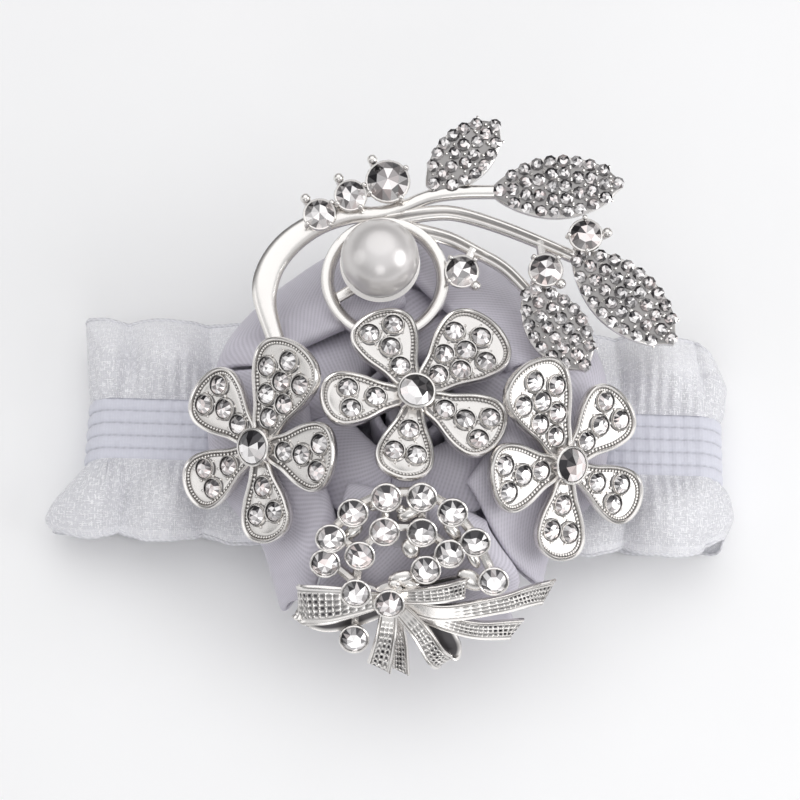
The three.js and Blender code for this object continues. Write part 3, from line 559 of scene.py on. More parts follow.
def spun(bm, profile, sides, place=Matrix(), layer=None):
    """A turned solid about +Z from (radius, height) pairs, each with a mark where a layer is given."""
    verts = [bm.verts.new((p[0], 0, p[1])) for p in profile]
    if layer:
        for vert, p in zip(verts, profile):
            vert[layer] = p[2]
    edges = [bm.edges.new(pair) for pair in zip(verts, verts[1:])]
    before = set(bm.verts) - set(verts)
    bmesh.ops.spin(
        bm, geom=verts + edges, axis=(0, 0, 1), cent=(0, 0, 0), angle=FULL_TURN, steps=sides, use_merge=True
    )
    made = [v for v in bm.verts if v not in before]
    bmesh.ops.remove_doubles(bm, verts=made, dist=MERGE)
    made = [v for v in made if v.is_valid]
    for face in faces_of(made):
        face.smooth = True
    bmesh.ops.transform(bm, matrix=place, verts=made)
    return made


def bead(bm, place, radius, fine=1):
    moved = Matrix.Translation(place)
    made = bmesh.ops.create_icosphere(bm, subdivisions=fine, radius=radius, matrix=moved)["verts"]
    for face in faces_of(made):
        face.smooth = True
    return made


def settle(bm, local=Matrix()):
    """Closes the work on a mesh: faces outwards, into the part's frame, in metres."""
    bmesh.ops.recalc_face_normals(bm, faces=bm.faces)
    bmesh.ops.transform(bm, matrix=Matrix.Scale(MM, 4) @ local, verts=bm.verts)


def show(name, bm, look):
    """An object of its own from a finished mesh."""
    mesh = bpy.data.meshes.new(name)
    bm.to_mesh(mesh)
    bm.free()
    mesh.materials.append(look)
    made = bpy.data.objects.new(name, mesh)
    bpy.context.scene.collection.objects.link(made)
    return made


def piece(name, bm, look, stands_for=(), body="corsage", crisp=None):
    """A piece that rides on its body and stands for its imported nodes."""
    made = show(name, bm, look)
    if crisp:
        made.data.set_sharp_from_angle(angle=math.radians(crisp))
    if body:
        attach(made, body)
    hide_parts(*stands_for)
    return made


def leaning(origin, degrees):
    return Matrix.Translation(origin) @ Matrix.Rotation(math.radians(degrees), 4, "X")


# Band


class BandLine:
    """Middle line of the elastic: two straight runs joined by half-round bends, in millimetres."""

    def __init__(self, band):
        self.thick = band.elastic_thick / MM
        self.width = band.elastic_width / MM
        self.bend = (band.wrist_gap / MM + self.thick) / 2
        self.run = band.span / MM - 2 * self.bend - self.thick
        self.rear_z = self.thick / 2
        self.front_z = self.rear_z + 2 * self.bend
        self.length = 2 * self.run + FULL_TURN * self.bend

    def at(self, s):
        """Place and outward direction, s millimetres from the left end of the front run."""
        half, turn = self.run / 2, math.pi * self.bend
        s %= self.length
        if s <= self.run:
            return s - half, self.front_z, 0.0, 1.0
        if s <= self.run + turn:
            a = (s - self.run) / self.bend
            nx, nz = math.sin(a), math.cos(a)
            return half + self.bend * nx, self.rear_z + self.bend * (1 + nz), nx, nz
        if s <= 2 * self.run + turn:
            return half - (s - self.run - turn), self.rear_z, 0.0, -1.0
        a = (s - 2 * self.run - turn) / self.bend
        nx, nz = -math.sin(a), -math.cos(a)
        return -half + self.bend * nx, self.rear_z + self.bend * (1 + nz), nx, nz


def stretch_with_band(made, line):
    """Bakes the loop's place into its mesh; the heights of the front and rear runs are worked out but nothing
    uses them.
    """
    top, low = line.front_z - 2.2, line.rear_z + 1.2
    top * MM
    low * MM
    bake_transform(made)


def loop_nodes(stem):
    return [f"{stem}_{part}" for part in ("front", "right_bend", "rear", "left_bend")]


class CORSAGE_OT_elastic(bpy.types.Operator):
    """Ribbed elastic loop with stitched grooves"""

    bl_idname = "corsage.elastic"
    bl_label = "Elastic band"

    def execute(self, context):
        band = context.scene.corsage_band
        line = BandLine(band)
        ribs, deep = band.rib_count, band.rib_depth / MM
        pitch = line.width / ribs
        stitch = band.stitch_pitch / MM
        out = line.thick / 2

        def section(s):
            rows = []
            for i in range(ribs):
                for k in range(8):
                    f = k / 8
                    y = -line.width / 2 + (i + f) * pitch
                    crown = math.sqrt(max(0.0, 1 - (2 * f - 1) ** 2))
                    edge = i == 0 and f < 0.5
                    knot = 0.5 + 0.5 * math.cos(FULL_TURN * s / stitch + i * 1.7)
                    # The groove mark is painted shade: deeper grooves are darker, dashed where the stitches
                    # pull in, lighter on the edge rib.
                    groove = (1 - crown) ** 3
                    sink = deep * (1 - crown) * (0.6 if edge else 0.75 + 0.35 * knot)
                    rows.append((y, out - sink, groove * (0.3 if edge else 0.55 + 0.45 * knot)))
            # Painted shade, a little along the far edge and fainter over the back of the elastic.
            rows.append((line.width / 2, out - 0.6 * deep, 0.2))
            for k in range(8):
                y = line.width / 2 - 0.15 - (line.width - 0.3) * k / 7
                rows.append((y, -out + 0.06 * math.cos(k * 2.2), 0.1))
            return rows

        bm = bmesh.new()
        layer = bm.verts.layers.float.new("groove")
        steps = 700
        rings, tags = [], []
        for j in range(steps):
            s = line.length * j / steps
            x, z, nx, nz = line.at(s)
            ruche = 0.05 * math.sin(FULL_TURN * s / 1.9) + 0.05 * ripple(s * 0.4, 3.0)
            rows = section(s)
            rings.append([Vector((x + nx * (w + ruche), y, z + nz * (w + ruche))) for y, w, g in rows])
            tags.append([g for y, w, g in rows])
        rings.append(rings[0])
        tags.append(tags[0])
        size = (line.length, 2 * line.width)
        rolled(bm, rings, tags, layer, cloth=size)
        settle(bm)
        look = finish_for(elastic_finish, band)
        made = piece("elastic_loop", bm, look, loop_nodes("elastic"), body=None)
        stretch_with_band(made, line)
        return {"FINISHED"}


class Frill:
    """One frill: pillow puffs that show past the rosette, small gathers at the seam, quiet underneath."""

    FLARE = {("upper", -1): 2.0, ("lower", -1): 8.8, ("upper", 1): 0.5, ("lower", 1): 1.2}
    CORNER = {("upper", -1): -1.2, ("lower", -1): 2.4, ("upper", 1): 3.6, ("lower", 1): 4.2}
    SCALLOP = {"upper": 0.2, "lower": 1.8}
    FIRST_DIP = {"upper": 2.6, "lower": 3.6}
    WIDE_CORNER = ("lower", -1)
    PUFF_LEAN = 1.5
    GATHER_PITCH = 1.7
    REAR_SHORTER = 3.0
    SEAM_LAP = 0.3

    def __init__(self, band, line, side):
        self.line, self.side = line, side
        self.edge = 1 if side == "upper" else -1
        self.height = band.frill_height / MM
        self.puff = line.length / round(line.length / (band.frill_pitch / MM))
        self.wave = band.frill_wave / MM

    def bulge(self, s, v, swell):
        """How far the sheet stands off the elastic where the frill is open to view."""
        pillow = math.sin(math.pi * min(1.0, 0.93 * v)) ** 0.8
        puffs = self.wave * (2.7 * swell * pillow - 0.5 * (1 - swell) * v)
        pleat = math.sin(FULL_TURN * s / self.GATHER_PITCH + 2.5 * ripple(s * 0.25, 1.0, self.edge))
        gather = 0.3 * pleat * (1 - v) ** 2 * smooth(v, 0, 0.1)
        crush = 0.42 * ripple(s * 0.24, v * 2.6, 7.0 * self.edge) + 0.16 * ripple(s * 0.7, v * 6.0, 3.0)
        return 0.5 * self.line.thick + 0.12 + puffs - 0.9 * v * v, gather + crush * v * (2 - v)

    def spread(self, corner, v):
        """Share of the flare at the band's end, from the seam to the hem."""
        if corner == self.WIDE_CORNER:
            return v**1.3 * (1 - 0.55 * v**4)
        return v * v if corner[1] < 0 else math.sin(0.9 * math.pi * v) ** 0.8

    def at(self, s, v, off=0.0):
        line = self.line
        x, z, nx, nz = line.at(s)
        corner = (self.side, -1 if x < 0 else 1)
        turned = abs(nx)
        in_view = smooth(abs(x), 0.3 * line.run, 0.4 * line.run)
        up = smooth(nz, -1, 0)
        phase = FULL_TURN * (s - self.FIRST_DIP[self.side] + self.PUFF_LEAN * v) / self.puff
        swell = abs(math.sin(phase / 2)) ** 0.75
        flat = v * (2 - v) * (-0.4 * math.cos(phase) - 0.1) - 0.05
        bulge, crumple = self.bulge(s, v, swell)
        out = mix(flat, bulge * (1 - 0.8 * turned) + crumple, up * mix(0.45, 1, in_view))
        notch = self.SCALLOP[self.side] * (1 - swell) + 0.3 * ripple(s * 0.4, 2.0, self.edge) * up
        reach = self.height - self.REAR_SHORTER * (1 - up) - notch * v
        reach -= self.CORNER[corner] * turned ** (3 if corner == self.WIDE_CORNER else 1.5) * up
        seam = line.width / 2 + mix(self.SEAM_LAP, -0.2, up)
        y = self.edge * (seam + (line.width / 2 + self.SEAM_LAP + reach - seam) * v)
        flare = self.FLARE[corner] * self.spread(corner, v) * turned**1.5
        return Vector((x + nx * (out + off + flare), y, z + nz * (out + off)))

    def hem(self, steps, sides=5):
        """Rings of points round the free edge."""
        rings = []
        for j in range(steps):
            s = self.line.length * j / steps
            centre = self.at(s, 1.0)
            lift = (self.at(s, 1.0, 1.0) - centre).normalized()
            turns = [FULL_TURN * k / sides for k in range(sides)]
            ring = [centre + lift * (0.2 * math.cos(a)) + Vector((0, 0.3 * math.sin(a), 0)) for a in turns]
            rings.append(ring)
        return rings + rings[:1]


class CORSAGE_OT_frills(bpy.types.Operator):
    """Sheer organza frills along both edges of the elastic, each with a rolled hem"""

    bl_idname = "corsage.frills"
    bl_label = "Organza frills"

    FULLNESS = 1.06
    STEPS, ROWS = 760, 18

    def execute(self, context):
        band = context.scene.corsage_band
        line = BandLine(band)
        full = self.FULLNESS * line.length
        sheer = finish_for(organza_finish, band)
        edging = finish_for(organza_hem_finish, band)
        for side in ("upper", "lower"):
            frill = Frill(band, line, side)
            bm = bmesh.new()
            size = (full, frill.height)
            made = spread_sheet(bm, self.STEPS, self.ROWS, lambda u, v: frill.at(u * line.length, v), size)
            bmesh.ops.remove_doubles(bm, verts=made, dist=MERGE)
            settle(bm)
            sheet = piece(f"frill_{side}", bm, sheer, loop_nodes(f"frill_{side}"), body=None)
            stretch_with_band(sheet, line)

            bm = bmesh.new()
            rolled(bm, frill.hem(self.STEPS), cloth=(full, 1.6))
            settle(bm)
            hem = piece(f"frill_{side}_hem", bm, edging, body=None)
            stretch_with_band(hem, line)
        return {"FINISHED"}


# Rosette


class Dome:
    """The rounded five-sided top that the satin follows, in millimetres."""

    SIDES = 5
    TURN = -85.8
    INNER_TURN = -62.0
    OVERHANG, TUCK = math.radians(41), math.radians(33)
    ROUNDNESS = 14
    NARROWING = 0.2
    LOW_EDGE, UPPER_EDGE, SIDE_EDGE = 27.4, 28.6, 35.0
    SOFT_STOP = 1.6
    SEAT_GAP, HALF_RIBBON = 0.3, 0.4

    def __init__(self, rosette):
        self.apothem = rosette.apothem / MM
        self.rim = rosette.rim / MM
        self.radius = rosette.dome_radius / MM
        self.lift = rosette.lift / MM
        self.felt_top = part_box("felt_backing")[1].z / MM
        self.top = self.felt_top + rosette.dome_rise / MM
        self.seat = self.felt_top + self.SEAT_GAP + self.HALF_RIBBON

    def reach(self, x, y):
        total = 0.0
        for k in range(self.SIDES):
            a = math.radians(self.TURN + 360 * k / self.SIDES)
            total += max(0.0, x * math.cos(a) + y * math.sin(a)) ** self.ROUNDNESS
        return min(total ** (1 / self.ROUNDNESS), self.radius)

    def at(self, x, y):
        return self.top - self.radius + math.sqrt(self.radius**2 - self.reach(x, y) ** 2)

    def slope(self, x, y):
        return math.asin(self.reach(x, y) / self.radius)

    def over(self, x, y, stand):
        return Vector((x, y, self.at(x, y) + stand / math.cos(self.slope(x, y))))

    def rounding(self, b):
        return 1 - 0.06 * smooth(b, 0.82 * self.apothem, self.apothem)

    def wide(self, b):
        """Both ends of a row across a panel: tucked under one neighbour and lying over the other."""
        tuck = min(b * math.tan(self.TUCK), 0.62 * self.apothem)
        over = min(b * math.tan(self.OVERHANG), 0.66 * self.apothem)
        return -tuck * self.rounding(b), over * self.rounding(b)

    def narrow(self, b):
        return -b * math.tan(self.TUCK), b * math.tan(self.TUCK)

    def stopped(self, far, edge):
        """A length that runs on to its edge and not much further."""
        return far if far <= edge else edge + self.SOFT_STOP * (1 - math.exp((edge - far) / self.SOFT_STOP))

    def drawn_in(self, p):
        """The rosette narrows towards its lower side, and its upper corners are pulled in and rounded."""
        x = p.x * (1 - self.NARROWING * smooth(-p.y, 7, 20))
        y = -self.stopped(-p.y, self.LOW_EDGE)
        far = math.hypot(x, y)
        edge = mix(self.UPPER_EDGE - 1.5 * smooth(-x, 8, 20), self.SIDE_EDGE, smooth(-y, 12, 22))
        share = self.stopped(far, edge) / far if far else 1.0
        return Vector((x * share, y * share, p.z))

    def lifted(self, a, b):
        fade = mix(1, 0.45, smooth(b, 0.84 * self.apothem, self.apothem))
        return self.lift * fade * max(-1.0, min(1.0, a / (0.55 * self.apothem)))


class FoldedPanel:
    """One folded ribbon panel: rows of points across the ribbon, joined smoothly along it."""

    def __init__(self, dome, degrees, rows, seed):
        self.c, self.s = math.cos(math.radians(degrees)), math.sin(math.radians(degrees))
        self.dome, self.rows, self.seed = dome, rows, seed

    def row_point(self, k, u):
        low, high, b_of, z_of = self.rows[k]
        a = mix(low, high, u)
        b = b_of(a)
        x, y = b * self.c - a * self.s, b * self.s + a * self.c
        return Vector((x, y, z_of(x, y, a)))

    def at(self, u, v):
        last = len(self.rows) - 1
        k = min(last - 1, int(v * last))
        picks = [min(last, max(0, k + i)) for i in (-1, 0, 1, 2)]
        p = catmull(*[self.row_point(i, u) for i in picks], v * last - k)
        pull = ripple(p.x * 0.11 + self.seed, p.y * 0.11, p.z * 0.11)
        crease = ripple(p.x * 0.3, p.y * 0.3, self.seed * 2.0)
        fullness = 0.5 * math.sin(math.pi * u) - 0.25 - 0.9 * smooth(u, 0.8, 1.0)
        return self.dome.drawn_in(p) + Vector((0, 0, 0.36 * pull + 0.26 * crease + fullness))


RIM_SLOPE = 0.25


def outer_rows(dome):
    """Rows of an outer panel: inner fold, face, outer fold, and back under to the felt."""
    rim_b, side_b, foot_b = dome.rim, dome.apothem, 10.5

    def rim(a):
        return rim_b + RIM_SLOPE * a

    def over(drop):
        return lambda x, y, a: dome.at(x, y) + dome.lifted(a, math.hypot(x, y) * 0.9) - drop

    def seat(x, y, a):
        return dome.seat

    face = over(0)
    rows = [
        (*dome.wide(rim_b), lambda a: rim(a) + 0.7, over(2.1)),
        (*dome.wide(rim_b), lambda a: rim(a) - 0.2, over(1)),
        (*dome.wide(rim_b + 0.6), lambda a: rim(a) + 0.6, over(0.1)),
    ]
    for f in (0.25, 0.5, 0.72, 0.88, 1):
        rows.append((*dome.wide(mix(rim_b, side_b, f)), lambda a, f=f: mix(rim(a), side_b, f), face))
    return rows + [
        (*dome.wide(side_b), lambda a: side_b + 0.7, lambda x, y, a: (face(x, y, a) + dome.seat) / 2),
        (*dome.wide(side_b), lambda a: side_b - 0.2, seat),
        (*dome.narrow(0.7 * side_b), lambda a: 0.7 * side_b, seat),
        (*dome.narrow(foot_b), lambda a: foot_b, seat),
    ]


def inner_rows(dome):
    """Rows of an inner panel: foot, leg, lip, and out under the outer panels."""
    lip_b, leg, reach, sink = 9.4, 7.84, 19.0, 3.5

    def lip(a):
        return lip_b + RIM_SLOPE * a

    def under(drop):
        return lambda x, y, a: dome.at(x, y) + dome.lifted(1.6 * a, 0) - sink - drop

    ends = dome.narrow(leg - dome.SEAT_GAP)
    low = under(3)
    rows = [
        (*ends, lambda a: leg, lambda x, y, a: dome.seat - dome.HALF_RIBBON),
        (*ends, lambda a: leg, lambda x, y, a: (dome.seat + low(x, y, a)) / 2),
        (*ends, lambda a: leg, under(1.6)),
        (*dome.wide(lip_b), lip, under(0.1)),
    ]
    for f in (0.45, 1):
        rows.append((*dome.wide(mix(lip_b, reach, f)), lambda a, f=f: mix(lip(a), reach, f), under(0)))
    return rows


def soften(made, thick):
    """Two layers of ribbon with a soft edge."""
    wall = made.modifiers.new("two layers", "SOLIDIFY")
    wall.thickness, wall.offset = thick, 0.0
    round_off = made.modifiers.new("soft edge", "SUBSURF")
    round_off.levels = round_off.render_levels = 1


class CORSAGE_OT_rosette(bpy.types.Operator):
    """Pinwheel of folded satin panels round a rolled core"""

    bl_idname = "corsage.rosette"
    bl_label = "Satin rosette"

    def execute(self, context):
        rosette = context.scene.corsage_rosette
        dome = Dome(rosette)
        look = finish_for(satin_finish, rosette)
        kinds = (
            ("outer", dome.TURN, outer_rows(dome), (34, 48), (0.026, 0.040), 0),
            ("inner", dome.INNER_TURN, inner_rows(dome), (24, 26), (0.017, 0.0205), 11),
        )
        for kind, turn, rows, steps, flat, seed in kinds:
            for k in range(dome.SIDES):
                panel = FoldedPanel(dome, turn + 360 * k / dome.SIDES, rows, 3.7 * k + seed)
                bm = bmesh.new()
                spread_sheet(bm, *steps, panel.at, [side / MM for side in flat])
                settle(bm)
                made = piece(f"satin_{kind}_{k + 1}", bm, look, [f"rosette_{kind}_{k + 1}"])
                soften(made, rosette.satin_thick)

        high = node_size("rosette_core", 2) / MM
        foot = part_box("rosette_core")[0].z / MM
        turns = 2.5

        def wound(u, v):
            r = mix(1.2, 6.5, u)
            a = FULL_TURN * turns * u
            lean = 1 + 0.06 * math.sin(math.pi * v)
            z = foot + 0.2 + (high - 0.4) * v + 0.25 * ripple(u * 9, v * 2)
            return Vector((r * lean * math.cos(a), r * lean * math.sin(a), min(z, foot + high)))

        bm = bmesh.new()
        spread_sheet(bm, 120, 10, wound, (61, high))
        settle(bm)
        core = piece("satin_core", bm, look, ["rosette_core"])
        soften(core, rosette.satin_thick)
        return {"FINISHED"}


class CORSAGE_OT_felt(bpy.types.Operator):
    """Felt disc that joins the rosette to the band"""

    bl_idname = "corsage.felt"
    bl_label = "Felt backing"

    def execute(self, context):
        rosette = context.scene.corsage_rosette
        low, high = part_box("felt_backing")
        radius, foot, top = (high.x - low.x) / 2 / MM, low.z / MM, high.z / MM
        bm = bmesh.new()
        profile = [(0, foot), (0.5 * radius, foot), (0.9 * radius, foot), (radius, foot + 0.25)]
        profile += [(radius, top - 0.25), (0.98 * radius, top), (0.5 * radius, top), (0, top)]
        for vert in spun(bm, profile, 72):
            rub = 0.12 * ripple(vert.co.x * 0.9, vert.co.y * 0.9, vert.co.z)
            vert.co.x *= 1 + rub / radius
            vert.co.y *= 1 + rub / radius
        settle(bm)
        look = finish_for(felt_finish, rosette)
        made = piece("rosette_felt", bm, look, ["felt_backing"], crisp=50)
        size = 2 * radius * MM
        math.pi * size**2 / 4
        return {"FINISHED"}


# Stones and metal


class StoneSetter:
    """Cuts stones into one mesh and gives every facet its painted share of light and shade."""

    TABLE_SIDES = 8
    SKIRT_TONE = 0.2
    TABLE_TONES = (0.12, 0.4, 0.65, 0.85, 1.0)
    CROWN_TONES = (-0.42, -0.2, 0.12, 0.34)

    def __init__(self, seed):
        self.bm = bmesh.new()
        self.tone = self.bm.faces.layers.float.new("tone")
        self.blush = self.bm.faces.layers.float.new("blush")
        self.rng = random.Random(seed)

    def ring(self, sides, radius, place):
        made = bmesh.ops.create_circle(self.bm, segments=sides, radius=radius, matrix=place)["verts"]
        return list({e for v in made for e in v.link_edges})

    def cut(self, size, place, world, girdle=16, point=False, lit=(0.25, -1.0), glint=1.0, swing=0.48):
        """A round brilliant on a short girdle, or a pointed stone with no table.

        Facets are painted lighter towards the lit side and darker away from it: swing says how much, glint
        how bright the whole stone is.
        """
        bm, r, rng = self.bm, size / 2, self.rng
        place = place @ Matrix.Rotation(rng.uniform(0, FULL_TURN), 4, "Z")
        before = set(bm.faces)
        low = self.ring(girdle, 0.93 * r, place @ Matrix.Translation((0, 0, -0.12 * size)))
        mid = self.ring(girdle, r, place)
        bmesh.ops.bridge_loops(bm, edges=low + mid)
        bmesh.ops.holes_fill(bm, edges=low, sides=0)
        inset, crown, rise = (0.62 * r, 0.105, 0.095) if point else (0.57 * r, 0.19, 0.006)
        turn = Matrix.Rotation(math.pi / girdle, 4, "Z")
        top = self.ring(self.TABLE_SIDES, inset, place @ turn @ Matrix.Translation((0, 0, crown * size)))
        bmesh.ops.bridge_loops(bm, edges=mid + top)
        cap = bmesh.ops.holes_fill(bm, edges=top, sides=0)["faces"]
        bmesh.ops.poke(bm, faces=cap, offset=rise * size)
        rosy = rng.random() < 0.3
        home = place.inverted()
        for face in (f for f in bm.faces if f not in before):
            middle = face.calc_center_median()
            away = world.to_3x3() @ (middle - place.translation)
            side = away.normalized().dot(Vector((*lit, 0)).normalized()) if away.length else 0.0
            spot = home @ middle
            # Painted light and shade: the skirt under the girdle as shade, a pointed stone bright on its lit
            # side and near-black away from it, table and crown facets with random painted reflections.
            if spot.z < 0:
                tone = self.SKIRT_TONE
            elif point:
                tone = 0.93 if side > -0.12 else 0.04
                tone += rng.uniform(-0.16, 0.16)
            elif spot.xy.length < 0.5 * r:
                tone = rng.choice(self.TABLE_TONES) + 0.25 * side
            else:
                tone = 0.45 + swing * side + rng.choice(self.CROWN_TONES)
            face[self.tone] = glint * min(1.0, max(0.0, tone)) ** 1.15
            face[self.blush] = rng.random() ** 2 * 0.8 if rosy else rng.random() ** 5 * 0.5
            face.smooth = False

    def done(self, name, local, look, stands_for=()):
        settle(self.bm, local)
        return piece(name, self.bm, look, stands_for)


class Casting:
    """Silver work in one local plane."""

    CRISP = 38
    COLLAR_SIDES = 18
    # Painted shade under the bars
    UNDERSIDE = 0.3

    def __init__(self):
        self.bm = bmesh.new()
        # The pit mark holds painted shade: in hollows, round stones and under bars.
        self.pit = self.bm.verts.layers.float.new("pit")

    def collar(self, place, inner, width, height):
        """A raised ring round a stone, with painted shade inside and a painted shadow where it meets the
        floor.
        """
        outer = inner + width
        profile = [
            (inner, -0.3, 1.0), (outer + 0.12, -0.3, 0.8), (outer + 0.12, 0.1, 0.8), (outer, 0.2, 0.3),
            (outer, 0.6 * height, 0.0), (inner + 0.66 * width, height, 0.0),
            (inner + 0.25 * width, 0.92 * height, 0.1), (inner, 0.4 * height, 1.0), (inner, -0.3, 1.0),
        ]
        spun(self.bm, profile, self.COLLAR_SIDES, Matrix.Translation(place), self.pit)

    def drop(self, place, size, degrees):
        """A rounded cast leaf or bead: half sizes along, across and up."""
        turn = Matrix.Translation(place) @ Matrix.Rotation(math.radians(degrees), 4, "Z")
        verts = bead(self.bm, (0, 0, 0), 1.0, 3)
        bmesh.ops.transform(self.bm, matrix=turn @ Matrix.Diagonal((*size, 1)), verts=verts)

    def rod(self, start, end, radius):
        self.path([start, mix(Vector(start), Vector(end), 0.5), end], lambda t: radius, 4)

    def path(self, points, radius, steps, sides=8):
        def section(t, s):
            r = radius(t)
            turns = [FULL_TURN * k / sides for k in range(sides)]
            return [(r * math.cos(a), r * math.sin(a)) for a in turns]

        swept(self.bm, points, steps, section)

    def stem(self, points, width, height, steps, hollow=0.0):
        """A cast bar with a rounded face, or with a hollow between two ridges painted darker as shade; its
        underside carries painted shade.
        """

        def section(t, s):
            w, h = width(t) / 2, height / 2
            rows = [(-0.8 * w, -h, self.UNDERSIDE), (-w, -0.5 * h, self.UNDERSIDE)]
            for k in range(13):
                f = k / 6 - 1
                ridge = math.sqrt(1 - 0.9 * f * f)
                dip = hollow * (1 - smooth(abs(f), 0.0, 0.42))
                rows.append((f * w, h * (ridge - 0.55 * dip), 0.75 * dip))
            return rows + [(w, -0.5 * h, self.UNDERSIDE), (0.8 * w, -h, self.UNDERSIDE)]

        swept(self.bm, points, steps, section, layer=self.pit)

    def done(self, name, local, look, stands_for):
        settle(self.bm, local)
        return piece(name, self.bm, look, stands_for, crisp=self.CRISP)


def ornament_tools(context):
    """What every cast ornament needs: its settings, the dome under it and its two finishes."""
    settings = context.scene.corsage_ornaments
    dome = Dome(context.scene.corsage_rosette)
    return settings, dome, finish_for(silver_finish, settings), finish_for(crystal_finish, settings)


# Flowers

# Half of a petal's outline: shares of its reach and width
PETAL_OUTLINE = [(0.14, 0.15), (0.34, 0.28), (0.56, 0.44), (0.76, 0.5), (0.9, 0.42), (0.98, 0.24)]
# Each petal: reach, width and spots of its stones
BIG_PETAL = (16.2, 11.6, [(4.6, 0), (7.5, 1.7), (7.5, -1.7), (10.2, 0), (11.1, 3.2), (11.1, -3.2), (13.3, 0)])
FOUR_PETAL = (13.6, 10, [(4.7, 0), (7.9, 0), (10.9, 1.9), (10.9, -1.9)])
THREE_PETAL = (13.6, 8.4, [(5.7, 0), (9.5, 1.6), (9.5, -1.6)])
PETALS = [BIG_PETAL, FOUR_PETAL, THREE_PETAL, THREE_PETAL, FOUR_PETAL]
# Each flower: spot on the dome, stand, heading, lean and direction of its big petal
FLOWERS = {
    "centre": ((1.4, -0.9), 3.3, 29.6, 6.1, (0.682, 0.718, -0.143)),
    "left": ((-21.6, -8.3), 4.5, -150, 2, (0.292, 0.743, 0.602)),
    "right": ((23.9, -8.8), 4.1, -30.7, -3.3, (-0.384, 0.701, 0.6)),
}
BEZEL_HEIGHT = 2.9
PETAL_FLOOR = 1.15
PETAL_RISE = 1.2
CENTRE_CLEAR = 3.4
# A little painted shade over the dished floor of every petal
FLOOR_SHADE = 0.14


def flower_frame(dome, spot, stand, heading, lean, long):
    """Local frame of a flower: +Z out of its face, +Y along its big petal."""
    tilt = dome.slope(*spot) + math.radians(lean)
    a = math.radians(heading)
    z = Vector((math.sin(tilt) * math.cos(a), math.sin(tilt) * math.sin(a), math.cos(tilt)))
    x = Vector(long).cross(z).normalized()
    y = z.cross(x)
    turn = Matrix((x, y, z)).transposed().to_4x4()
    return Matrix.Translation(dome.over(*spot, stand) - z * BEZEL_HEIGHT) @ turn


class PetalShape:
    """Outline of one petal as a smooth closed line, with its inward direction."""

    def __init__(self, reach, width, degrees, count=88):
        half = [Vector((s * reach, t * width, 0)) for s, t in PETAL_OUTLINE]
        tip = Vector((1.01 * reach, 0, 0))
        loop = half + [tip] + [Vector((p.x, -p.y, 0)) for p in reversed(half)]
        n = len(loop)
        fine = []
        for k in range(n):
            picks = [loop[(k + i) % n] for i in (-1, 0, 1, 2)]
            fine += [catmull(*picks, f / 24) for f in range(24)]
        steps = [(b - a).length for a, b in zip(fine, fine[1:] + fine[:1])]
        self.round = sum(steps)
        self.points, walked, k = [], 0.0, 0
        for i in range(count):
            goal = self.round * i / count
            while walked + steps[k] < goal:
                walked += steps[k]
                k += 1
            self.points.append(fine[k].lerp(fine[(k + 1) % len(fine)], (goal - walked) / steps[k]))
        self.inward = []
        for i, p in enumerate(self.points):
            run = (self.points[(i + 1) % count] - self.points[i - 1]).normalized()
            self.inward.append(Vector((run.y, -run.x, 0)))
        self.turn = math.radians(90 - degrees)
        self.mid = 0.62 * reach

    def place(self, p, z):
        c, s = math.cos(self.turn), math.sin(self.turn)
        return Vector((p.x * c - p.y * s, p.x * s + p.y * c, z + PETAL_RISE * p.x / BIG_PETAL[0]))

    def inset(self, i, d):
        return self.points[i] + self.inward[i] * d


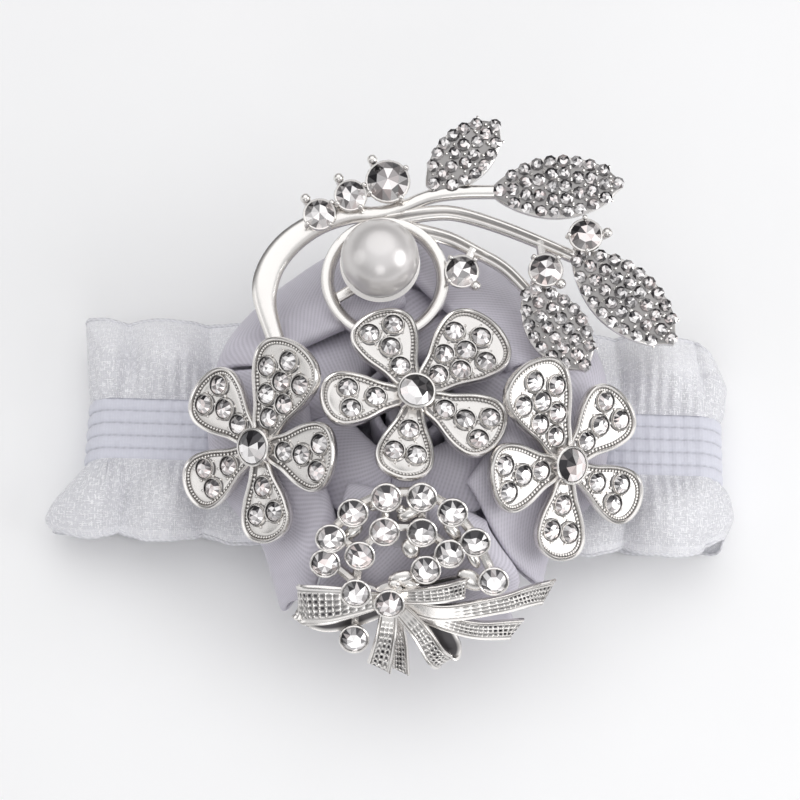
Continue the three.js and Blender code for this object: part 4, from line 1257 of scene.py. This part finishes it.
class CORSAGE_OT_flowers(bpy.types.Operator):
    """Cast flowers with dished petals, bead edging and pointed centre stones"""

    bl_idname = "corsage.flowers"
    bl_label = "Cast flowers"

    # Rim of a petal from outside to inside: inset, height and painted shade, most in the channel under the
    # bead edging
    RIM = [
        (0.35, 0, 0.2), (0.12, 0.35, 0.2), (0.0, 0.95, 0), (0.02, 1.4, 0), (0.14, 1.64, 0), (0.34, 1.72, 0),
        (0.52, 1.62, 0), (0.62, 1.4, 0.3), (0.66, 1.14, 0.7), (1.08, 1.1, 0.7), (1.2, 1.14, 0.12),
    ]
    BEADS = 0.88
    # Side that each centre stone is painted lit from
    LIT = {"centre": (-0.7, -0.7), "left": (-0.3, -1.0), "right": (0.9, -0.2)}
    FLOOR = [(0.25, 1.08), (0.6, 1.0), (1.0, 0.97)]

    def petal(self, work, stones, shape, spots, size, pitch, world, rng):
        bm = work.bm
        around = range(len(shape.points))
        rings = [[shape.place(shape.inset(i, d), z) for i in around] for d, z, dark in self.RIM]
        marks = [[dark] * len(around) for d, z, dark in self.RIM]
        for share, z in self.FLOOR:
            ring = []
            for i in around:
                edge = shape.inset(i, self.RIM[-1][0])
                spine = Vector((mix(edge.x, shape.mid, 0.3), 0, 0))
                ring.append(shape.place(edge.lerp(spine, share), z))
            rings.append(ring)
            marks.append([FLOOR_SHADE] * len(around))
        rolled(bm, rings, marks, work.pit)

        count = round(shape.round / pitch)
        for k in range(count):
            t = len(around) * k / count
            i = int(t) % len(around)
            j = (i + 1) % len(around)
            p = shape.inset(i, self.BEADS).lerp(shape.inset(j, self.BEADS), t - int(t))
            if p.x > CENTRE_CLEAR:
                bead(bm, shape.place(p, PETAL_FLOOR + 0.1), 0.44 * pitch)

        r = size / 2
        for s, t in spots:
            at = shape.place(Vector((s, t, 0)), PETAL_FLOOR - 0.1)
            work.collar(at, r + 0.06, 0.26, 0.5)
            stones.cut(size, Matrix.Translation(at + Vector((0, 0, 0.36))), world)
            start = rng.uniform(0, FULL_TURN)
            for k in range(5):
                a = start + FULL_TURN * k / 5
                p = Vector((s + (r + 0.5) * math.cos(a), t + (r + 0.5) * math.sin(a), 0))
                clear = all((p - Vector((x, y, 0))).length > r + 0.42 for x, y in spots)
                inside = min((p - q).length for q in shape.points) > 1.3 and 3.6 < p.x
                if clear and inside:
                    bead(bm, shape.place(p, PETAL_FLOOR), 0.24)

    def execute(self, context):
        settings, dome, silver, crystal = ornament_tools(context)
        size, middle = settings.petal_stone / MM, settings.centre_stone / MM
        for number, (name, stance) in enumerate(FLOWERS.items()):
            local = flower_frame(dome, *stance)
            rng = random.Random(40 + number)
            work, stones = Casting(), StoneSetter(50 + number)
            for i, (reach, width, spots) in enumerate(PETALS):
                shape = PetalShape(reach, width, 72 * i)
                self.petal(work, stones, shape, spots, size, settings.milgrain / MM, local, rng)
            r = middle / 2
            bezel = [(0, 0.1), (r + 0.5, 0.1), (r + 0.62, 0.6), (r + 0.62, 1.9), (r + 0.5, 2.5)]
            bezel += [(r + 0.42, 2.8), (r + 0.28, BEZEL_HEIGHT), (r + 0.1, BEZEL_HEIGHT - 0.05)]
            bezel += [(r + 0.02, 2.6), (r - 0.1, 2.2), (0, 2.0)]
            spun(work.bm, bezel, 40)
            work.done(f"flower_{name}", local, silver, [f"flower_{name}_casting"])
            stones.done(f"flower_{name}_chips", local, crystal)
            centre = StoneSetter(60 + number)
            seat = Matrix.Translation((0, 0, BEZEL_HEIGHT - 0.1))
            centre.cut(middle, seat, local, point=True, lit=self.LIT[name])
            centre.done(f"flower_{name}_rivoli", local, crystal, [f"flower_{name}_stone"])
        return {"FINISHED"}


# Leaf spray

SPRAY_SPOT, SPRAY_STAND, SPRAY_TILT = (-3.6, 17.7), 2.6, 10
# Each leaf: base, tip and width
LEAVES = [
    ((6, 13.9), (15.9, 24.3), 8.2),
    ((15.4, 13.7), (34.3, 15.5), 9.5),
    ((27.5, 4.6), (42, -8.2), 9.8),
    ((20.6, -0.7), (29.5, -12.6), 8.9),
]
# Each clawed stone: spot, diameter and heading of its main claw
CLAWS = {
    "a": ((-9.8, 9), 4.3, 135),
    "b": ((-5.4, 12), 4.3, 128),
    "c": ((-0.1, 14.3), 6.0, 128),
    "d": ((11, 1.1), 4.5, -48),
    "e": ((23.1, 1.7), 4.5, -45),
    "f": ((28.8, 7.1), 4.5, 5),
}
CRESCENT = [
    (-15.5, -9.4, -0.6), (-17.1, -4.6, -0.2), (-17.3, -1.2, 0), (-16.2, 2.2, 0), (-13.7, 5.5, 0),
    (-9.9, 8.2, 0), (-5.5, 9.6, 0), (-1.7, 9.8, 0), (2, 10.9, 0), (6.1, 12.7, 0),
    (10.5, 13.5, 0), (16.4, 13.8, 0),
]
BRANCH = [(0, 9, 0), (6.2, 10.2, 0), (10.3, 10.2, 0), (15.9, 8.7, 0), (21.6, 6.6, 0), (28.6, 3.7, 0)]
TWIG = [(3.6, 7.7, 0), (8.9, 6.5, 0), (13, 4.6, 0), (17.3, 2.2, 0), (21.4, -1.8, 0)]
# Short rods that tie leaves and claws to the stems
LINKS = [
    ((6.2, 12.6), (7.6, 15.6)), ((11, 1.1), (12.6, 5)), ((23.1, 1.7), (22.3, 6.5)),
    ((23.1, 1.7), (21.2, -1.3)), ((28.8, 7.1), (27, 4.4)), ((-0.1, 14.3), (2.2, 10.9)),
    ((-5.4, 12), (-5.2, 9.4)),
]
PEARL_SPOT = (-0.8, 1.5)
PEARL_SEAT = 0.7
PEARL_STRUT = [(-7.5, -3.3, -0.4), (-4.4, -1.3, -0.4), (-1.1, 0.9, -0.3)]


def spray_frame(dome):
    return leaning(dome.over(*SPRAY_SPOT, SPRAY_STAND), SPRAY_TILT)


class LeafShape:
    """A pointed oval leaf, slightly domed, in the plane of the spray."""

    def __init__(self, base, tip, width):
        self.base = Vector((*base, 0))
        run = Vector((*tip, 0)) - self.base
        self.reach, self.width = run.length, width
        self.run = run.normalized()
        self.side = Vector((-self.run.y, self.run.x, 0))

    def share(self, u):
        return math.sin(math.pi * min(1.0, 0.03 + 0.94 * u)) ** 0.7 * (1 - 0.5 * smooth(u, 0.86, 1.0))

    def crown(self, u, v):
        return 0.62 + 0.42 * self.share(u) * (1 - v * v)

    def at(self, u, v, z):
        half = self.share(u) * self.width / 2
        return self.base + self.run * (u * self.reach) + self.side * (v * half) + Vector((0, 0, z))

    def spots(self, size):
        """Rows of stones across the leaf, from edge to edge."""
        rows = round((self.reach - 1.7) / (0.97 * size))
        for i in range(rows + 1):
            u = (0.85 + i * (self.reach - 1.7) / rows) / self.reach
            half = self.share(u) * self.width / 2
            count = max(1, int(2 * half / size + 0.25))
            for j in range(count):
                side = 2 * j / (count - 1) - 1 if count > 1 else 0.0
                yield u, side * (half - 0.45 * size) / half


class CORSAGE_OT_spray(bpy.types.Operator):
    """Leaf spray: ring, stems, leaves set with small stones, and clawed stones"""

    bl_idname = "corsage.spray"
    bl_label = "Leaf spray"

    def leaf(self, work, stones, shape, size, world):
        bm = work.bm
        steps, sides = 30, 22
        rings, marks = [], []
        for j in range(steps + 1):
            u = j / steps
            ring = []
            # Painted shade on the leaf's face, in the bed between its stones.
            marks.append([0.62 * smooth(math.sin(FULL_TURN * k / sides), 0.45, 0.75) for k in range(sides)])
            for k in range(sides):
                a = FULL_TURN * k / sides
                v = math.copysign(abs(math.cos(a)) ** 0.55, math.cos(a))
                if math.sin(a) >= 0:
                    z = shape.crown(u, v) * abs(math.sin(a)) ** 0.3
                else:
                    z = -0.6 * abs(math.sin(a)) ** 0.4
                ring.append(shape.at(u, v, z))
            rings.append(ring)
        rolled(bm, rings, marks, work.pit)
        for u, v in shape.spots(size):
            top = shape.at(u, v, shape.crown(u, v))
            tilt = Matrix.Rotation(0.22 * v, 4, shape.run)
            seat = Matrix.Translation(top + Vector((0, 0, 0.26))) @ tilt
            stones.cut(size, seat, world, 8, glint=0.86, swing=0.22)
            for sign in (-1, 1):
                p = shape.at(u + 0.45 * size / shape.reach, v, 0) + shape.side * (0.55 * size * sign)
                across = (p - shape.base).dot(shape.side)
                half = shape.share(u) * shape.width / 2
                if abs(across) < half - 0.2:
                    p.z = shape.crown(u, across / half) + 0.18
                    bead(bm, p, 0.25)

    def claw(self, work, spot, size, post):
        x, y = spot
        r = size / 2 + 0.32
        basket = [(0, -0.6), (0.55 * r, -0.6), (0.72 * r, 0.2), (r - 0.1, 1.2), (r, 1.75), (r - 0.12, 1.98)]
        basket += [(r - 0.34, 1.9), (0.8 * r, 1.3), (0, 0.9)]
        spun(work.bm, basket, 24, Matrix.Translation((x, y, 0)))
        for k in range(4):
            a = math.radians(post + 90 * k)
            out = Vector((math.cos(a), math.sin(a), 0))
            main = k == 0
            foot = Vector((x, y, -0.2)) + out * (0.7 * r)
            knee = Vector((x, y, 1.5)) + out * (r + (0.4 if main else 0.12))
            tip = Vector((x, y, 2.4)) + out * (r + (0.5 if main else -0.1))
            thick = 0.58 if main else 0.3
            work.path([foot, knee, tip], lambda t: thick, 8, 10)
            bead(work.bm, tip + Vector((0, 0, 0.1)), thick * 1.35, 2)

    def execute(self, context):
        settings, dome, silver, crystal = ornament_tools(context)
        local = spray_frame(dome)
        work, stones = Casting(), StoneSetter(71)

        outer, wide, high = 9.3, 1.9, 0.9
        band = [(outer - wide, -0.6 * high), (outer - 0.8 * wide, -high), (outer - 0.1, -0.9 * high)]
        band += [(outer, -0.4 * high), (outer, 0.45 * high), (outer - 0.12 * wide, 0.86 * high)]
        band += [(outer - 0.3 * wide, high), (outer - 0.6 * wide, 0.96 * high)]
        band += [(outer - 0.86 * wide, 0.7 * high), (outer - wide, 0.25 * high)]
        spun(work.bm, band + band[:1], 72)

        work.stem(CRESCENT, lambda t: 2.6 + 1.2 * smooth(t, 0, 0.2) - 1.8 * smooth(t, 0.3, 0.75), 1.6, 90)
        work.stem(BRANCH, lambda t: 2.3 - 0.5 * t, 1.5, 48, hollow=0.8)
        work.stem(TWIG, lambda t: 2.1 - 0.4 * t, 1.4, 36, hollow=0.8)
        for start, end in LINKS:
            work.rod((*start, 0), (*end, 0), 0.7)

        ball = settings.pearl / MM / 2 + 0.3
        middle = ball - 0.3 + PEARL_SEAT
        cup = []
        for wall, open_to, order in ((ball - 0.02, 62, range(9)), (ball + 0.62, 63, range(8, -1, -1))):
            turns = [math.radians(open_to * i / 8) for i in order]
            cup += [(wall * math.sin(a), middle - wall * math.cos(a)) for a in turns]
        spun(work.bm, cup, 48, Matrix.Translation((*PEARL_SPOT, 0)))
        work.stem(PEARL_STRUT, lambda t: 1.6, 0.8, 8)

        for base, tip, width in LEAVES:
            self.leaf(work, stones, LeafShape(base, tip, width), settings.pave_stone / MM, local)
        for letter, (spot, size, post) in CLAWS.items():
            self.claw(work, spot, size, post)
            single = StoneSetter(80 + ord(letter))
            single.cut(size, Matrix.Translation((*spot, 1.9)), local)
            single.done(f"spray_brilliant_{letter}", local, crystal, [f"spray_stone_{letter}"])
        work.done("leaf_spray", local, silver, ["spray_casting"])
        stones.done("leaf_chips", local, crystal)
        return {"FINISHED"}


class CORSAGE_OT_pearl(bpy.types.Operator):
    """Pearl, seated in the cup of the leaf spray"""

    bl_idname = "corsage.pearl"
    bl_label = "Pearl"

    def execute(self, context):
        settings = context.scene.corsage_ornaments
        dome = Dome(context.scene.corsage_rosette)
        local = spray_frame(dome)
        bm = bmesh.new()
        radius = settings.pearl / MM / 2 + 0.04
        centre = Vector((*PEARL_SPOT, PEARL_SEAT + settings.pearl / MM / 2))
        for vert in bead(bm, (0, 0, 0), radius, 5):
            skin = 0.02 * ripple(vert.co.x * 0.3, vert.co.y * 0.3, vert.co.z * 0.3)
            vert.co = centre + vert.co * (1 + skin / radius)
        settle(bm, local)
        look = finish_for(pearl_finish, settings)
        piece("pearl", bm, look, ["spray_pearl"])
        return {"FINISHED"}


# Wreath and bow

BOW_SPOT, BOW_STAND, BOW_TILT = (-0.5, -23.4), 2.8, 40
# Middles of the stones, and the wires between them
WREATH = {
    "a": (-1.9, 9.7), "b": (3, 9.9), "c": (7.3, 7.8), "d": (-6.4, 7.3), "e": (-9.4, 3.4), "f": (-10.1, -0.3),
    "g": (10.6, 3.5), "h": (13.4, -2.2), "i": (-2, 4.7), "j": (3.2, 4.7), "k": (-5.3, 1), "l": (7.1, 1.7),
    "m": (3.9, -0.8), "n": (-5.7, -4), "knot": (-1, -5.6), "o": (-5.8, -11.6),
}
WIRES = (
    "h-g g-c c-b b-a a-d d-e e-f a-i b-j i-j i-k k-e j-l l-g l-m m-knot k-n n-knot n-f n-o".split()
)
# Each ribbon: middle line, direction across it, width on the way and slant of its end
RIBBONS = [
    (
        [(-0.6, -5.6, 1), (-4.6, -5.8, 1.9), (-9.2, -6.1, 2.7), (-12.6, -6.4, 2.3), (-13.5, -7, 1),
         (-12.2, -8.6, 0.2), (-9.4, -9.6, -0.1), (-5, -8.4, -0.3), (-0.8, -6.2, -0.2)],
        (0, -1, 0), lambda t: 2.4 + 3.6 * smooth(t, 0, 0.3) - 2.4 * smooth(t, 0.4, 0.58), 0.0,
    ),
    (
        [(-1, -5.4, 0.8), (4, -4.6, 1.9), (7.6, -3.9, 1.9), (9.4, -3.5, 1), (8, -3.8, 0), (3, -5, -0.2),
         (-1, -5.8, -0.2)],
        (0.2, 1, 0), lambda t: 2 + 1.2 * math.sin(math.pi * t), 0.0,
    ),
    (
        [(-1, -6, 0.4), (6.1, -7.3, 1.5), (14.4, -5.9, 1.2), (18.5, -4.6, 1), (21.2, -4, 0.7)],
        (0.1, 1, 0), lambda t: 2.2 + 1.2 * t, 0.55,
    ),
    (
        [(-1, -6.4, 0.2), (6.9, -9.2, 0.4), (11.8, -10.2, 0.5), (17, -10, 0.2)],
        (0.1, 1, 0), lambda t: 2.2 + 0.9 * t, 0.5,
    ),
    ([(-1, -5.8, 0.8), (-1.3, -10.5, 1.9), (-2.2, -16.2, 0.9)], (1, 0, 0), lambda t: 2.2 + 1.5 * t, 0.25),
    ([(-0.6, -6, 0.2), (0.6, -12, 0.3), (1, -17.1, 0)], (1, 0, 0.3), lambda t: 1.8 + 0.6 * t, 0.3),
    (
        [(-0.8, -5.8, 0.9), (3.4, -9.8, 2.7), (5.8, -13.6, 2.4), (7.2, -14.6, 1.2), (7.6, -12.6, 0.2),
         (4.4, -8.4, 0), (-0.8, -5.8, 0)],
        (1, 0.8, 0), lambda t: 2 + 1.4 * math.sin(math.pi * t), 0.0,
    ),
]

# Cast leaves and beads between the stones: place, half sizes and turn in the plane of the wreath
LEAFLETS = [
    ((1.4, 7.0, 0.5), (1.9, 1.0, 0.8), 25),
    ((0.2, 7.6, 0.6), (0.8, 0.7, 0.7), 0),
    ((1.7, 1.9, 0.8), (1.3, 1.6, 0.9), 30),
    ((7.4, 4.6, 0.4), (1.8, 0.9, 0.8), -50),
    ((-6.4, 4.0, 0.4), (1.7, 0.9, 0.8), 40),
    ((10.2, -2.6, 0.5), (2.2, 1.4, 0.8), -35),
    ((0.6, -2.5, 0.7), (2.0, 1.1, 0.8), 15),
    ((1.8, -3.4, 0.6), (1.6, 0.9, 0.8), -15),
    ((-0.4, -3.4, 0.9), (1.0, 0.8, 0.8), 0),
    ((10.4, 0.6, 0.2), (1.8, 0.8, 0.7), -60),
    ((-3.2, 8.0, 0.2), (1.3, 0.8, 0.6), 35),
]


class CORSAGE_OT_bow(bpy.types.Operator):
    """Wreath of cup-set stones on a bow of dimpled metal ribbon"""

    bl_idname = "corsage.bow"
    bl_label = "Wreath and bow"

    THICK = 0.8
    PIT_PITCH = 0.86
    COLUMNS = 26
    # Shares of the half width: the pitted middle, and the line of painted shade beside the raised edge
    PITTED, EDGE_LINE = 0.62, 0.69
    STAND = {"knot": 2.0, "n": 2.4}

    def ribbon(self, work, points, across, width, slant):
        """A metal ribbon with smooth raised edges and rows of square pits between them; the pits are painted
        darker as shade.
        """
        steps = max(40, round(Line(points).length() / 0.17))

        def section(t, s):
            w = width(t) / 2
            rows = max(3, round(2 * self.PITTED * w / self.PIT_PITCH))
            along = abs(math.sin(math.pi * s / self.PIT_PITCH))
            fade = smooth(t, 0.25, 0.6) if slant else smooth(t, 0.05, 0.2)
            skew = 1.4 * slant * w * smooth(t, 0.85, 1.0)
            face = []
            for k in range(self.COLUMNS + 1):
                f = 2 * k / self.COLUMNS - 1
                off = abs(f)
                cell = abs(math.sin(math.pi * rows * (f / self.PITTED + 1) / 2)) if off < self.PITTED else 0.0
                patch = 0.8 + 0.2 * math.sin(0.9 * s + 2.6 * f)
                # The pits and the line beside the raised edge are painted dark as shade.
                pit = smooth(min(along, cell), 0.44, 0.82) * fade * patch
                pit = max(pit, 0.6 * patch * smooth(0.07 - abs(off - self.EDGE_LINE), 0.0, 0.05))
                lip = 0.12 * smooth(off, 0.74, 0.84) - 0.2 * smooth(off, 0.93, 1.0)
                face.append((f * w, self.THICK / 2 - 0.1 + lip - 0.2 * pit, pit, skew * f))
            # Painted shade inside the loops, on the back of the ribbon.
            inside = 0.0 if slant else 0.9 * smooth(t, 0.5, 0.6)
            back = ((0.96, 0.0), (0.6, inside), (-0.6, inside), (-0.96, 0.0))
            return face + [(w * f, -self.THICK / 2, dark, skew * f) for f, dark in back]

        swept(work.bm, points, steps, section, across, layer=work.pit)

    def execute(self, context):
        settings, dome, silver, crystal = ornament_tools(context)
        local = leaning(dome.over(*BOW_SPOT, BOW_STAND), BOW_TILT)
        size = settings.wreath_stone / MM
        r = size / 2
        work = Casting()
        for points, across, width, slant in RIBBONS:
            self.ribbon(work, points, across, width, slant)
        knot = [(0, -0.6), (2, -0.6), (2.4, 0), (2.5, 0.5), (2.4, 1.2), (1.6, 1.5), (0, 1.5)]
        spun(work.bm, knot, 32, Matrix.Translation((*WREATH["knot"], 0)))
        for pair in WIRES:
            start, end = pair.split("-")
            work.rod((*WREATH[start], -0.4), (*WREATH[end], -0.4), 0.72)
        for place, half, degrees in LEAFLETS:
            work.drop(place, half, degrees)
        for number, (letter, (x, y)) in enumerate(WREATH.items()):
            h = self.STAND.get(letter, 0.8)
            cup = [(0, -1.1), (0.66 * r, -1.1), (0.8 * r, -0.6), (r + 0.2, 0.4), (r + 0.36, 0.95)]
            cup += [(r + 0.34, 1.2), (r + 0.2, 1.32), (r + 0.05, 1.24), (r - 0.02, 1.0)]
            cup += [(0.8 * r, 0.6), (0, 0.3)]
            spun(work.bm, cup, 28, Matrix.Translation((x, y, h)))
            stone = StoneSetter(120 + number)
            stone.cut(size, Matrix.Translation((x, y, h + 1.15)), local)
            stone.done(f"wreath_brilliant_{number + 1:02d}", local, crystal, [f"bow_stone_{number + 1:02d}"])
        work.done("wreath_bow", local, silver, ["bow_casting"])
        return {"FINISHED"}


class CORSAGE_OT_glue(bpy.types.Operator):
    """Hot-melt glue pads under the ornaments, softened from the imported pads"""

    bl_idname = "corsage.glue"
    bl_label = "Glue pads"

    def execute(self, context):
        settings = context.scene.corsage_ornaments
        look = finish_for(glue_finish, settings)
        for node in sorted(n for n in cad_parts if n.endswith("_glue")):
            bm = bmesh.new()
            bm.from_mesh(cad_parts[node].data)
            bmesh.ops.remove_doubles(bm, verts=bm.verts, dist=1e-6)
            made = piece(f"{node}_pad", bm, look, [node])
            blob = made.modifiers.new("flow", "REMESH")
            blob.mode, blob.voxel_size, blob.use_smooth_shade = "VOXEL", 0.00028, True
            melt = made.modifiers.new("melt", "SMOOTH")
            melt.factor, melt.iterations = 0.5, 10
        return {"FINISHED"}


# Stage


class CORSAGE_OT_stage(bpy.types.Operator):
    """Pale floor, soft studio light and the camera"""

    bl_idname = "corsage.stage"
    bl_label = "Stage"

    # Each light: name, place, diameter and power
    LIGHTS = [
        ("soft_top", (0.0, 0.24, 0.62), 1.0, 1.35),
        ("soft_right", (0.46, -0.08, 0.24), 0.36, 0.95),
        ("soft_left", (-0.46, -0.08, 0.24), 0.36, 0.24),
        ("soft_front", (0.02, -0.45, 0.28), 0.26, 0.22),
    ]
    # Greys of the studio, from the horizon to straight up
    SKY = [(0.0, 0.75), (0.12, 0.30), (0.34, 0.16), (0.55, 0.62), (0.8, 0.95), (1.0, 0.85)]
    SKY_POWER = 0.8

    def floor(self, settings):
        bm = bmesh.new()
        bmesh.ops.create_grid(bm, x_segments=4, y_segments=4, size=3.0)
        bmesh.ops.translate(bm, verts=bm.verts, vec=(0, 0, -0.0002))
        f = Finish("floor")
        base = tuple(settings.floor_colour)
        paper = f.grain(f.place(), 60.0, 3.0)
        tone = f.blend(paper, shade(base, 0.99), shade(base, 1.01))
        look = f.finish(base_color=tone, roughness=0.85 + paper * 0.05)
        made = show("floor", bm, look)
        # The table stays under the rear run when the band is stretched.
        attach(made, "rear_band")

    def world(self, scene):
        scene.world = bpy.data.worlds.new("studio")
        studio = Nodes(scene.world)
        where = studio.node("ShaderNodeTexCoord", out="Generated")
        height = studio.node("ShaderNodeSeparateXYZ", sockets={0: where}, out="Z")
        stops = [(place, (grey, grey, grey * 1.01, 1)) for place, grey in self.SKY]
        sky = studio.node("ShaderNodeValToRGB", {"stops": stops}, {0: height})
        light = studio.node("ShaderNodeBackground", sockets={"Color": sky, "Strength": self.SKY_POWER})
        studio.node("ShaderNodeOutputWorld", sockets={"Surface": light})

    def execute(self, context):
        scene, settings = context.scene, context.scene.corsage_stage
        self.floor(settings)
        self.world(scene)
        aim = Vector(settings.target)
        for name, spot, size, power in self.LIGHTS:
            lamp = bpy.data.lights.new(name, "AREA")
            lamp.shape, lamp.size, lamp.energy = "DISK", size, power
            made = bpy.data.objects.new(name, lamp)
            made.location = spot
            made.rotation_mode = "QUATERNION"
            made.rotation_quaternion = (aim - Vector(spot)).to_track_quat("-Z", "Y")
            scene.collection.objects.link(made)

        e, roll = settings.elevation, settings.roll
        back = Vector((0, -math.cos(e), math.sin(e)))
        up = Vector((0, math.sin(e), math.cos(e)))
        side = Vector((1, 0, 0))
        across = side * math.cos(roll) + up * math.sin(roll)
        rise = up * math.cos(roll) - side * math.sin(roll)
        lens = bpy.data.cameras.new("camera")
        lens.lens, lens.sensor_width = settings.lens, 36
        lens.clip_start, lens.clip_end = 0.01, 20
        camera = bpy.data.objects.new("camera", lens)
        turn = Matrix((across, rise, back)).transposed().to_4x4()
        camera.matrix_world = Matrix.Translation(aim + back * settings.distance) @ turn
        scene.collection.objects.link(camera)
        scene.camera = camera
        scene.view_settings.view_transform = "Standard"
        scene.view_settings.look = "None"
        scene.view_settings.exposure = 0.0
        return {"FINISHED"}


class CORSAGE_PT_panel(bpy.types.Panel):
    """Settings and build steps of the corsage"""

    bl_idname = "CORSAGE_PT_panel"
    bl_label = "Wrist corsage"
    bl_space_type = "VIEW_3D"
    bl_region_type = "UI"
    bl_category = "Corsage"

    def draw(self, context):
        for group in SETTINGS:
            box = self.layout.box()
            settings = getattr(context.scene, group)
            for key in settings.__annotations__:
                box.prop(settings, key)
        for step in STEPS:
            self.layout.operator(step.bl_idname)


SETTINGS = {
    "corsage_band": BandSettings,
    "corsage_rosette": RosetteSettings,
    "corsage_ornaments": OrnamentSettings,
    "corsage_stage": StageSettings,
}
STEPS = (
    CORSAGE_OT_stage,
    CORSAGE_OT_felt,
    CORSAGE_OT_elastic,
    CORSAGE_OT_frills,
    CORSAGE_OT_rosette,
    CORSAGE_OT_glue,
    CORSAGE_OT_flowers,
    CORSAGE_OT_spray,
    CORSAGE_OT_pearl,
    CORSAGE_OT_bow,
)


def register():
    for group in SETTINGS.values():
        bpy.utils.register_class(group)
    for step in STEPS:
        bpy.utils.register_class(step)
    bpy.utils.register_class(CORSAGE_PT_panel)
    for key, group in SETTINGS.items():
        setattr(bpy.types.Scene, key, PointerProperty(type=group))


def unregister():
    for key in SETTINGS:
        delattr(bpy.types.Scene, key)
    bpy.utils.unregister_class(CORSAGE_PT_panel)
    for step in reversed(STEPS):
        bpy.utils.unregister_class(step)
    for group in SETTINGS.values():
        bpy.utils.unregister_class(group)


def main():
    register()
    for step in STEPS:
        name = step.bl_idname.split(".")[1]
        getattr(bpy.ops.corsage, name)()
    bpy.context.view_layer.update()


if __name__ == "__main__":
    main()
